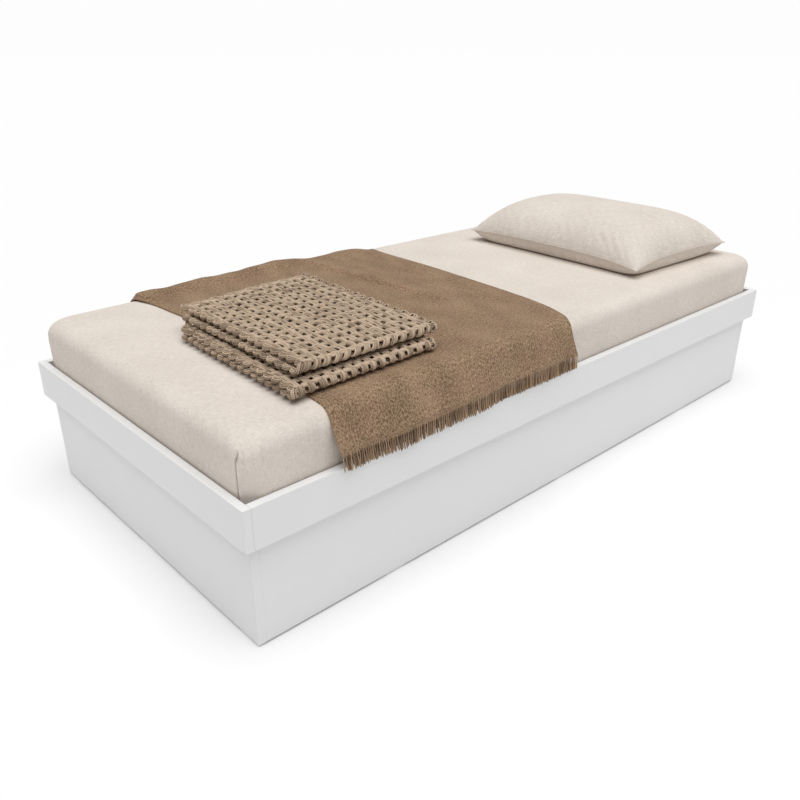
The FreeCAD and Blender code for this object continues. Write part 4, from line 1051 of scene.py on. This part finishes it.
CREST_HEIGHT = 0.0125
CREST_FADE = (0.40, -0.30)
SECOND_RUN = (-0.396, 0.094)
SECOND_X = (0.039, 0.013)
SECOND_HEIGHT = 0.0050
SECOND_FADE = (0.25, -0.25)
FAR_CREASES = ((-0.60, 0.35, 0.050), (-0.45, 0.20, 0.055), (-0.30, 0.30, 0.065))
FAR_CREASE_RUN = ROLL_RUN + 0.020
FAR_CREASE_HEIGHT = 0.0035
FAR_CREASE_WIDTHS = (0.006, 0.020)
SOFT_WAVES = ((0.0022, 0.143, 1.1, 2.2), (0.0012, 0.078, 0.4, 3.0))
HANGING_WAVES = ((0.50, 0.205, 1.0, 0.0), (0.34, 0.121, 1.7, 0.8), (0.16, 0.071, 2.9, 2.1))
FOLD_DEPTH = 0.0060
FOLD_MARGIN = 0.012
FOLD_PHASES = (0.6, 2.4)
PRESSED_X = ((-0.83, -0.78), (-0.30, -0.35))
PRESSED_Y = ((-0.43, -0.38), (0.19, 0.14))


def throw_line():
    """The throw's path across the bed on one side, from its middle to its knee: run, way out and height."""
    lift = THROW_LIFT + THROW_CLOTH / 2
    top = SHEET_HIGH.z + lift
    radius = BED_EDGE + lift
    centre = np.array((BED_HALF_Y - BED_EDGE, top - radius))
    knee = np.array((RIM_FACE + KNEE_OUT, RIM_TOP + KNEE_RISE))
    to_knee = knee - centre
    leaving = math.atan2(to_knee[1], to_knee[0]) + math.acos(radius / np.linalg.norm(to_knee))
    angle = np.linspace(math.pi / 2, leaving, THROW_ARC_STEPS)
    arc = centre + radius * np.stack([np.cos(angle), np.sin(angle)], -1)
    line = np.concatenate([[(0.0, top)], arc, [knee]])
    run = run_along(line)
    places = np.linspace(0, run[-1], int(run[-1] / THROW_LINE_STEP))
    return places, np.interp(places, run, line[:, 0]), np.interp(places, run, line[:, 1])


def across_steps(width):
    """Places across the throw from edge to edge, as shares of its width, close together at the selvedges."""
    middle = np.linspace(SELVEDGE_WIDTH, width - SELVEDGE_WIDTH, THROW_ACROSS_STEPS)
    return np.concatenate([SELVEDGE_STEPS, middle, width - SELVEDGE_STEPS[::-1]]) / width


def rumple(x, run):
    """Height of the throw's ridges over the flat of the bed; run is the way across, towards the near side."""
    roll = eased(x, FAR_ROLL_STOPS, FAR_ROLL, ROLL_EASE)
    height = roll * ridge(run - ROLL_RUN, *ROLL_WIDTHS)
    height = height + (roll - ROLL_MEAN) * ROLL_RISING_SHARE * smooth_step(*ROLL_RISING_RUN, run)
    for start, slope, reach in FAR_CREASES:
        from_crease = run - FAR_CREASE_RUN - slope * (x - start)
        shown = FAR_CREASE_HEIGHT * bell(x - start, reach)
        height = height + shown * ridge(from_crease, *FAR_CREASE_WIDTHS)
    inland = smooth_step(*ROLL_INLAND, run)
    crests = (
        (CREST_RUN, CREST_X, CREST_HEIGHT, CREST_FADE),
        (SECOND_RUN, SECOND_X, SECOND_HEIGHT, SECOND_FADE),
    )
    for runs, places, crest, fade in crests:
        from_crest = x - np.interp(run, runs, places)
        height = height + crest * smooth_step(*fade, run) * inland * ridge(from_crest, *CREST_WIDTHS)
    for depth, pitch, phase, slant in SOFT_WAVES:
        height = height + depth * wave(x, pitch, phase + slant * run)
    pressed = 1.0
    for place, ends in ((x, PRESSED_X), (-run, PRESSED_Y)):
        for outside, inside in ends:
            pressed = pressed * smooth_step(outside, inside, place)
    return height * (1 - pressed)


def hanging_folds(x, phase):
    """How far a hanging end stands out, from 0 to 1, in soft uneven folds."""
    return sum(share * wave(x, pitch, turn * phase + lag) for share, pitch, turn, lag in HANGING_WAVES)


def build_throw():
    """The wool throw over the bed, with its hanging ends and its fringe."""
    places, out, height = throw_line()
    knee_run = places[-1]
    fall = THROW_FALL * np.linspace(0, 1, THROW_FALL_STEPS)[1:]
    side = np.concatenate([np.linspace(0, knee_run, THROW_TOP_STEPS), knee_run + fall])
    run = np.concatenate([-side[:0:-1], side])
    foot = eased(run, FOOT_STOPS, FOOT_EDGE, FOOT_EASE)
    head = eased(run, HEAD_STOPS, HEAD_EDGE, HEAD_EASE)
    width = float((head - foot).mean())
    across = across_steps(width)
    x = foot[:, None] + (head - foot)[:, None] * across
    run = np.broadcast_to(run[:, None], x.shape)
    reach = np.abs(run)
    near = run > 0
    fallen = np.clip((reach - knee_run) / THROW_FALL, 0, 1)
    near_hem, far_hem = (eased(x, HEM_STOPS, rises, HEM_EASE) for rises in (NEAR_HEM, FAR_HEM))
    hem = np.where(near, near_hem, far_hem) + RIM_TOP + HEM_CLEAR
    z = np.interp(reach, places, height) * (1 - fallen) + hem * fallen
    hang = smooth_step(SHEET_HIGH.z - FOLD_MARGIN, RIM_TOP + FOLD_MARGIN, z)
    near_folds, far_folds = (hanging_folds(x, phase) for phase in FOLD_PHASES)
    folds = np.where(near, near_folds, far_folds) * hang * FOLD_DEPTH
    y = np.where(near, -1, 1) * (np.interp(reach, places, out) + folds)
    z = z + (crowned(x, np.clip(y, -BED_HALF_Y, BED_HALF_Y)) - SHEET_HIGH.z) * (1 - fallen)
    middle = np.stack([x, y, z], -1)
    upward = unit(np.cross(np.gradient(middle, axis=1), -np.gradient(middle, axis=0)))
    lift = rumple(x, run) * smooth_step(knee_run, knee_run - KNEE_SETTLE, reach)
    lift = lift * smooth_step(*FOOT_SETTLE, across * width)
    middle = middle + upward * lift[..., None]
    from_edge = np.minimum(across, 1 - across) * width
    bead, groove = (
        share * bell(from_edge - place, spread) for share, place, spread in (SELVEDGE_BEAD, SELVEDGE_GROOVE)
    )
    points, faces = thick_grid(middle, THROW_CLOTH * (1 + bead - groove))
    flat = np.stack([x, run, np.zeros_like(x)], -1).reshape(-1, 3)
    wool = wool_finish("throw_wool")
    throw = mesh_object("wool_throw", points, faces, wool, {"flat": np.concatenate([flat, flat])})
    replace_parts(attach(throw, "throw"), "throw")
    fringe = build_fringe(middle[0], middle[-1])


# Fringe

FRINGE_PITCH = 0.0056
FRINGE_MARGINS = (0.003, 0.002)
FRINGE_STRAY = 0.0005
FRINGE_LENGTH = 0.0345
FRINGE_LENGTH_SHARES = (0.92, 1.05)
FRINGE_ROOT = 0.0010
FRINGE_TIP = 0.0017
FRINGE_BACK = 0.0026
FRINGE_STAND = (0.0016, 0.0026)
FRINGE_STAND_SHARES = (0.4, 4)
FRINGE_SWAY = (0.0, 0.0070)
FRINGE_SWAY_POWER = 1.5
FRINGE_WAVE = 0.0007
FRINGE_START = (0.001, 0.008)
FRINGE_TONE_SHARES = (0.05, 0.80)
FRINGE_STEPS = 9
FRINGE_SIDES = 6


def hem_strands(hem, outward, start, back):
    """Centre lines of the strands along a hem, set back from the hem by a depth."""
    run = run_along(hem)
    strands = np.arange(start, run[-1] - FRINGE_MARGINS[1], FRINGE_PITCH)
    strands = strands + draws.uniform(-FRINGE_STRAY, FRINGE_STRAY, len(strands))
    each = (len(strands), 1)
    roots = np.stack([np.interp(strands, run, hem[:, axis]) for axis in range(3)], -1)
    length = FRINGE_LENGTH * draws.uniform(*FRINGE_LENGTH_SHARES, each)
    sway = draws.uniform(*FRINGE_SWAY, each)
    bend = draws.uniform(-FRINGE_WAVE, FRINGE_WAVE, each)
    stand = draws.uniform(*FRINGE_STAND, each) - back
    above = draws.uniform(*FRINGE_START, each)
    share = np.linspace(0, 1, FRINGE_STEPS)
    at_root, growth = FRINGE_STAND_SHARES
    x = roots[:, :1] + sway * share ** FRINGE_SWAY_POWER + bend * np.sin(2 * np.pi * share)
    y = roots[:, 1:2] + outward * stand * np.minimum(1, at_root + growth * share)
    z = roots[:, 2:] + above - (length + above) * share
    return np.stack([x, y, z], -1)


def build_fringe(far_hem, near_hem):
    """Short strands along both hems of the throw, in two rows, each fuller towards its end."""
    wool = yarn_finish("fringe_wool", *WOOL, 900.0)
    radius = FRINGE_ROOT + (FRINGE_TIP - FRINGE_ROOT) * np.linspace(0, 1, FRINGE_STEPS)
    radius[-1] = FRINGE_ROOT / 2
    start = FRINGE_MARGINS[0]
    parts = []
    for hem, outward in ((far_hem, 1), (near_hem, -1)):
        for first, back in ((start, 0.0), (start + FRINGE_PITCH / 2, FRINGE_BACK)):
            lines = hem_strands(hem, outward, first, back)
            parts.append(tubes(lines, radius, FRINGE_SIDES, draws.uniform(*FRINGE_TONE_SHARES, len(lines))))
    points, faces, tone = joined(parts)
    fringe = mesh_object("throw_fringe_strands", points, faces, wool, {"tone": tone})
    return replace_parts(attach(fringe, "throw"), "throw_fringe")


# Folded blanket

BLANKET_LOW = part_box("folded_blanket")[0].z
LAYER_LEVELS = (0.0062, 0.0190, 0.0335, 0.0465)
BLANKET_LAYERS = len(LAYER_LEVELS)
BLANKET_HALF = 0.253
FOLD_INSET = 0.0130
FOLD_REACH = 0.065
BLANKET_WIDTH = 0.380
BLANKET_BULGE = 0.010
BLANKET_BULGE_POWER = 4
LAYER_CORNERS = np.array((
    ((-0.798, -0.390), (-0.408, -0.381), (-0.390, 0.112), (-0.784, 0.062)),
    ((-0.798, -0.388), (-0.407, -0.379), (-0.386, 0.125), (-0.778, 0.075)),
    ((-0.766, -0.357), (-0.390, -0.360), (-0.370, 0.146), (-0.759, 0.098)),
    ((-0.754, -0.355), (-0.382, -0.358), (-0.352, 0.164), (-0.742, 0.130)),
))
LAYER_STEPS = 160
BEND_STEPS = 24
LIFTED_EDGE = 0.0035
LIFTED_ACROSS = (0.10, -0.02)
TOP_LAYER_SHARE = 1.04
STITCH_ROW = 0.0295
STITCHES = 14
STITCH_EDGE = 0.012
STITCH_PITCH = (BLANKET_WIDTH - 2 * STITCH_EDGE) / STITCHES
SIDE_STITCHES = 2
END_ROW_INSET = 0.0065
YARN_SIDES = 8
YARN_SIZE_SHARES = (0.92, 1.08)
YARN_TONE_SHARES = (0.22, 0.92)
ROW_YARN = 0.0027
ROW_SWAY = 0.0050
ROW_DEPTH = 0.0014
ROW_DRIFT = 0.0013
ROW_WANDER = 0.0012
ROW_WANDER_PITCH = 0.17
ROW_RIPPLE = 0.0006
ROW_RIPPLES = 3
ROW_STEPS = 170
SIDE_ROW_LENGTH = 2.9 * STITCH_PITCH
SIDE_ROW_STEPS = 36
POST_YARN = 0.0021
POST_PLACES = (-0.0066, -0.0022, 0.0022, 0.0066)
POST_PINCH_SHARE = 0.14
POST_DOME = 0.0014
POST_PUFF = 0.0012
POST_PLUMP_SHARES = (0.6, 1.3)
POST_DRIFT = 0.0012
POST_LEAN = 0.0016
POST_UNEVEN = 0.0005
POST_SHARES = np.linspace(-0.06, 1.06, 10)
SHELL_TILTS = np.radians((-65.0, -38.0, -12.0, 14.0, 40.0, 66.0))
SHELL_ANGLES = np.linspace(-0.62 * np.pi, 0.62 * np.pi, 13)
SHELL_SIZE_SHARES = (0.94, 1.06)
SHELL_REACH = 0.0120
SHELL_RISE = 0.0066
SHELL_YARN = 0.0016
SHELL_INSET = 0.0142
SHELL_FALL_SHARE = 0.6
NET_HALF_ROW = 0.0060
NET_HALF_POST = 0.0078
NET_MARGIN = 0.002
NET_STRIP_STEPS = 5
NET_HOLE_STEPS = 6


def folded_line():
    """The blanket's middle line, folded to and fro, as places along the bed's width and levels."""
    bend = BLANKET_HALF - FOLD_INSET
    pieces = []
    for layer, level in enumerate(LAYER_LEVELS):
        towards = -1 if layer % 2 == 0 else 1
        first = -towards * (bend if layer else BLANKET_HALF)
        last = towards * (bend if layer + 1 < BLANKET_LAYERS else BLANKET_HALF)
        pieces.append(np.stack([np.linspace(first, last, LAYER_STEPS), np.full(LAYER_STEPS, level)], -1))
        if layer + 1 < BLANKET_LAYERS:
            radius = (LAYER_LEVELS[layer + 1] - level) / 2
            angle = np.linspace(-np.pi / 2, np.pi / 2, BEND_STEPS)[1:-1]
            pieces.append(radius * np.stack([towards * np.cos(angle), 1 + np.sin(angle)], -1) + (last, level))
    return np.concatenate(pieces)


BLANKET_LINE = folded_line()
BLANKET_RUN = run_along(BLANKET_LINE)
BLANKET_LENGTH = BLANKET_RUN[-1]
BLANKET_SLOPE = unit(np.gradient(BLANKET_LINE, BLANKET_RUN, axis=0))


def folded(flat):
    """Places in the bed's frame for places on the flat blanket: the run, the way across, the height."""
    run, across, rise = np.moveaxis(flat, -1, 0)
    slope_y, slope_z = (np.interp(run, BLANKET_RUN, BLANKET_SLOPE[:, axis]) for axis in range(2))
    y, level = (np.interp(run, BLANKET_RUN, BLANKET_LINE[:, axis]) for axis in range(2))
    share_x = across / BLANKET_WIDTH
    share_y = (y - slope_z * rise) / (2 * BLANKET_HALF) + 0.5
    plan = []
    for axis in range(2):
        corners = [np.interp(level, LAYER_LEVELS, LAYER_CORNERS[:, corner, axis]) for corner in range(4)]
        near = corners[0] + (corners[1] - corners[0]) * share_x
        far = corners[3] + (corners[2] - corners[3]) * share_x
        plan.append(near + (far - near) * share_y)
    bulge = BLANKET_BULGE * 4 * share_x * (1 - share_x)
    plan[1] = plan[1] + bulge * np.clip(share_y, 0, 1) ** BLANKET_BULGE_POWER
    upper = smooth_step(LAYER_LEVELS[1], LAYER_LEVELS[2], level)
    lift = LIFTED_EDGE * upper * smooth_step(*LIFTED_ACROSS, across)
    return np.stack([plan[0], plan[1], BLANKET_LOW + level + slope_y * rise + lift], -1)


class Stitches:
    """The blanket's yarn as lines on the flat blanket, each point a run, a way across and a height."""

    def __init__(self):
        turned_at = BLANKET_RUN[np.argmin(BLANKET_LINE[:, 0])]
        first = (turned_at + STITCH_ROW / 2) % STITCH_ROW
        rows = np.arange(first, BLANKET_LENGTH - STITCH_ROW / 2, STITCH_ROW)
        self.rows = np.append(rows, BLANKET_LENGTH - END_ROW_INSET)
        self.posts = STITCH_EDGE + (np.arange(STITCHES) + 0.5) * STITCH_PITCH
        self.near_bends = BLANKET_RUN[1:][np.diff(np.sign(BLANKET_SLOPE[:, 0])) > 0]
        each = (len(self.rows), STITCHES)
        self.row_drift = draws.normal(0, ROW_DRIFT, len(self.rows))
        self.post_drift = draws.normal(0, POST_DRIFT, each)
        self.lean = draws.normal(0, POST_LEAN, each)
        self.plump = draws.uniform(*POST_PLUMP_SHARES, each)

    def row_lines(self, which, start, finish, steps):
        """Three yarns that wind about each other along a row."""
        across = np.linspace(start, finish, steps)
        phase = np.pi * (across - STITCH_EDGE) / STITCH_PITCH
        lines = []
        for index in which:
            wander = ROW_WANDER * np.sin(2 * np.pi * across / ROW_WANDER_PITCH + index)
            middle = self.rows[index] + self.row_drift[index] + wander
            for side in (-1, 0, 1):
                run = middle + side * ROW_SWAY * np.cos(phase)
                rise = side * ROW_DEPTH * np.sin(phase) + ROW_RIPPLE * np.sin(ROW_RIPPLES * phase + index)
                lines.append(np.stack([run, across, rise], -1))
        return np.array(lines)

    def post_lines(self, which, columns):
        """Yarns side by side from a row to the next one, plump in the middle."""
        middle = np.sin(np.pi * np.clip(POST_SHARES, 0, 1))
        lines = []
        for index in which:
            if index + 1 == len(self.rows):
                continue
            run = self.rows[index] + (self.rows[index + 1] - self.rows[index]) * POST_SHARES
            for column in columns:
                lean = self.lean[index, column] * (POST_SHARES - 0.5)
                centre = self.posts[column] + self.post_drift[index, column] + lean
                puff = POST_PUFF * self.plump[index, column] * middle
                for place in POST_PLACES:
                    across = centre + place * (1 + POST_PINCH_SHARE * (0.5 - middle))
                    rise = puff + POST_DOME * (1 - (place / POST_PLACES[0]) ** 2) * middle
                    lines.append(np.stack([run, across, rise], -1))
        lines = np.array(lines)
        lines[..., 2] += draws.normal(0, POST_UNEVEN, (len(lines), 1))
        return lines

    def edge_lines(self, side):
        """Knobs of yarn along an edge, one at each row and at each bend on the near side."""
        lines = []
        for knob in np.concatenate([self.rows + self.row_drift, self.near_bends]):
            size = draws.uniform(*SHELL_SIZE_SHARES)
            for tilt in SHELL_TILTS:
                reach = size * SHELL_REACH * math.cos(tilt)
                run = knob + reach * np.sin(SHELL_ANGLES)
                inward = SHELL_INSET - reach * np.cos(SHELL_ANGLES)
                across = inward if side < 0 else BLANKET_WIDTH - inward
                rise = size * SHELL_RISE * math.sin(tilt) * np.cos(SHELL_FALL_SHARE * SHELL_ANGLES)
                lines.append(np.stack([run, across, rise], -1))
        return np.array(lines)


def build_net(rows, posts, yarn):
    """The blanket's ground: strips along its rows and posts, with a hole between each four stitches; its tone
    is the darkest, as painted shade for the shaded yarn seen through the holes.
    """
    hole = STITCH_ROW - 2 * NET_HALF_ROW
    strip = np.linspace(-NET_HALF_ROW, NET_HALF_ROW, NET_STRIP_STEPS)
    steps = np.concatenate([strip, NET_HALF_ROW + np.linspace(0, hole, NET_HOLE_STEPS)[1:-1]])
    runs = np.unique(rows[:, None] + steps)
    runs = runs[(runs > NET_MARGIN) & (runs < BLANKET_LENGTH - NET_MARGIN)]
    ends = (NET_MARGIN, BLANKET_WIDTH - NET_MARGIN)
    columns = np.sort(np.concatenate([posts - NET_HALF_POST, posts + NET_HALF_POST, ends]))
    grid_run, grid_across = np.meshgrid(runs, columns, indexing="ij")
    points = folded(np.stack([grid_run, grid_across, np.zeros_like(grid_run)], -1))
    middle_run = (runs[:-1] + runs[1:]) / 2
    middle_across = (columns[:-1] + columns[1:]) / 2
    in_row = np.min(np.abs(middle_run[:, None] - rows), axis=1) < NET_HALF_ROW
    in_post = np.min(np.abs(middle_across[:, None] - posts), axis=1) < NET_HALF_POST
    faces = grid_faces(*grid_run.shape)[(in_row[:, None] | in_post).reshape(-1)]
    # A tone of zero gives the whole ground the yarn's darkest colour: painted shade for the hollows seen
    # through the holes.
    net = mesh_object("crocheted_blanket", points, faces, yarn, {"tone": np.zeros(grid_run.size)})
    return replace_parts(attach(net, "blanket"), "folded_blanket")


def build_blanket():
    """The crocheted blanket, folded in four: a ground net with real holes, and its stitches of thick yarn."""
    yarn = yarn_finish("blanket_yarn", *YARN, 700.0)
    stitches = Stitches()
    net = build_net(stitches.rows, stitches.posts, yarn)

    def piece(name, lines, radius):
        uneven = radius * draws.uniform(*YARN_SIZE_SHARES, (len(lines), 1))
        tone = draws.uniform(*YARN_TONE_SHARES, len(lines))
        points, faces, tone = tubes(folded(lines), uneven, YARN_SIDES, tone)
        thing = mesh_object(name, points, faces, yarn, {"tone": tone})
        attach(thing, "blanket")

    on_top = stitches.rows > BLANKET_LENGTH - TOP_LAYER_SHARE * BLANKET_LENGTH / BLANKET_LAYERS
    places = np.abs(np.interp(stitches.rows, BLANKET_RUN, BLANKET_LINE[:, 0]))
    at_fold = places > BLANKET_HALF - FOLD_REACH
    top_rows, fold_rows, between = map(np.flatnonzero, (on_top, ~on_top & at_fold, ~on_top & ~at_fold))
    all_posts = range(STITCHES)
    side_posts = (*all_posts[:SIDE_STITCHES], *all_posts[-SIDE_STITCHES:])
    first, last = SHELL_INSET, BLANKET_WIDTH - SHELL_INSET
    for place, which in (("top", top_rows), ("fold", fold_rows)):
        piece(f"blanket_{place}_rows", stitches.row_lines(which, first, last, ROW_STEPS), ROW_YARN)
        piece(f"blanket_{place}_posts", stitches.post_lines(which, all_posts), POST_YARN)
    piece("blanket_side_posts", stitches.post_lines(between, side_posts), POST_YARN)
    side_rows = (("foot", first, SIDE_ROW_LENGTH), ("head", BLANKET_WIDTH - SIDE_ROW_LENGTH, last))
    for end, start, finish in side_rows:
        lines = stitches.row_lines(between, start, finish, SIDE_ROW_STEPS)
        piece(f"blanket_{end}_side_rows", lines, ROW_YARN)
    for end, side in (("foot", -1), ("head", 1)):
        piece(f"blanket_{end}_side_edge", stitches.edge_lines(side), SHELL_YARN)


build_camera()
build_sky()
build_lamp()
build_floor()
foil, steel = dress_solids()
build_caps(foil)
build_springs(steel)
felt = felt_finish()
build_deck_cloths(felt)
build_leg_pads(felt)
build_mattress()
build_pillow()
build_throw()
build_blanket()
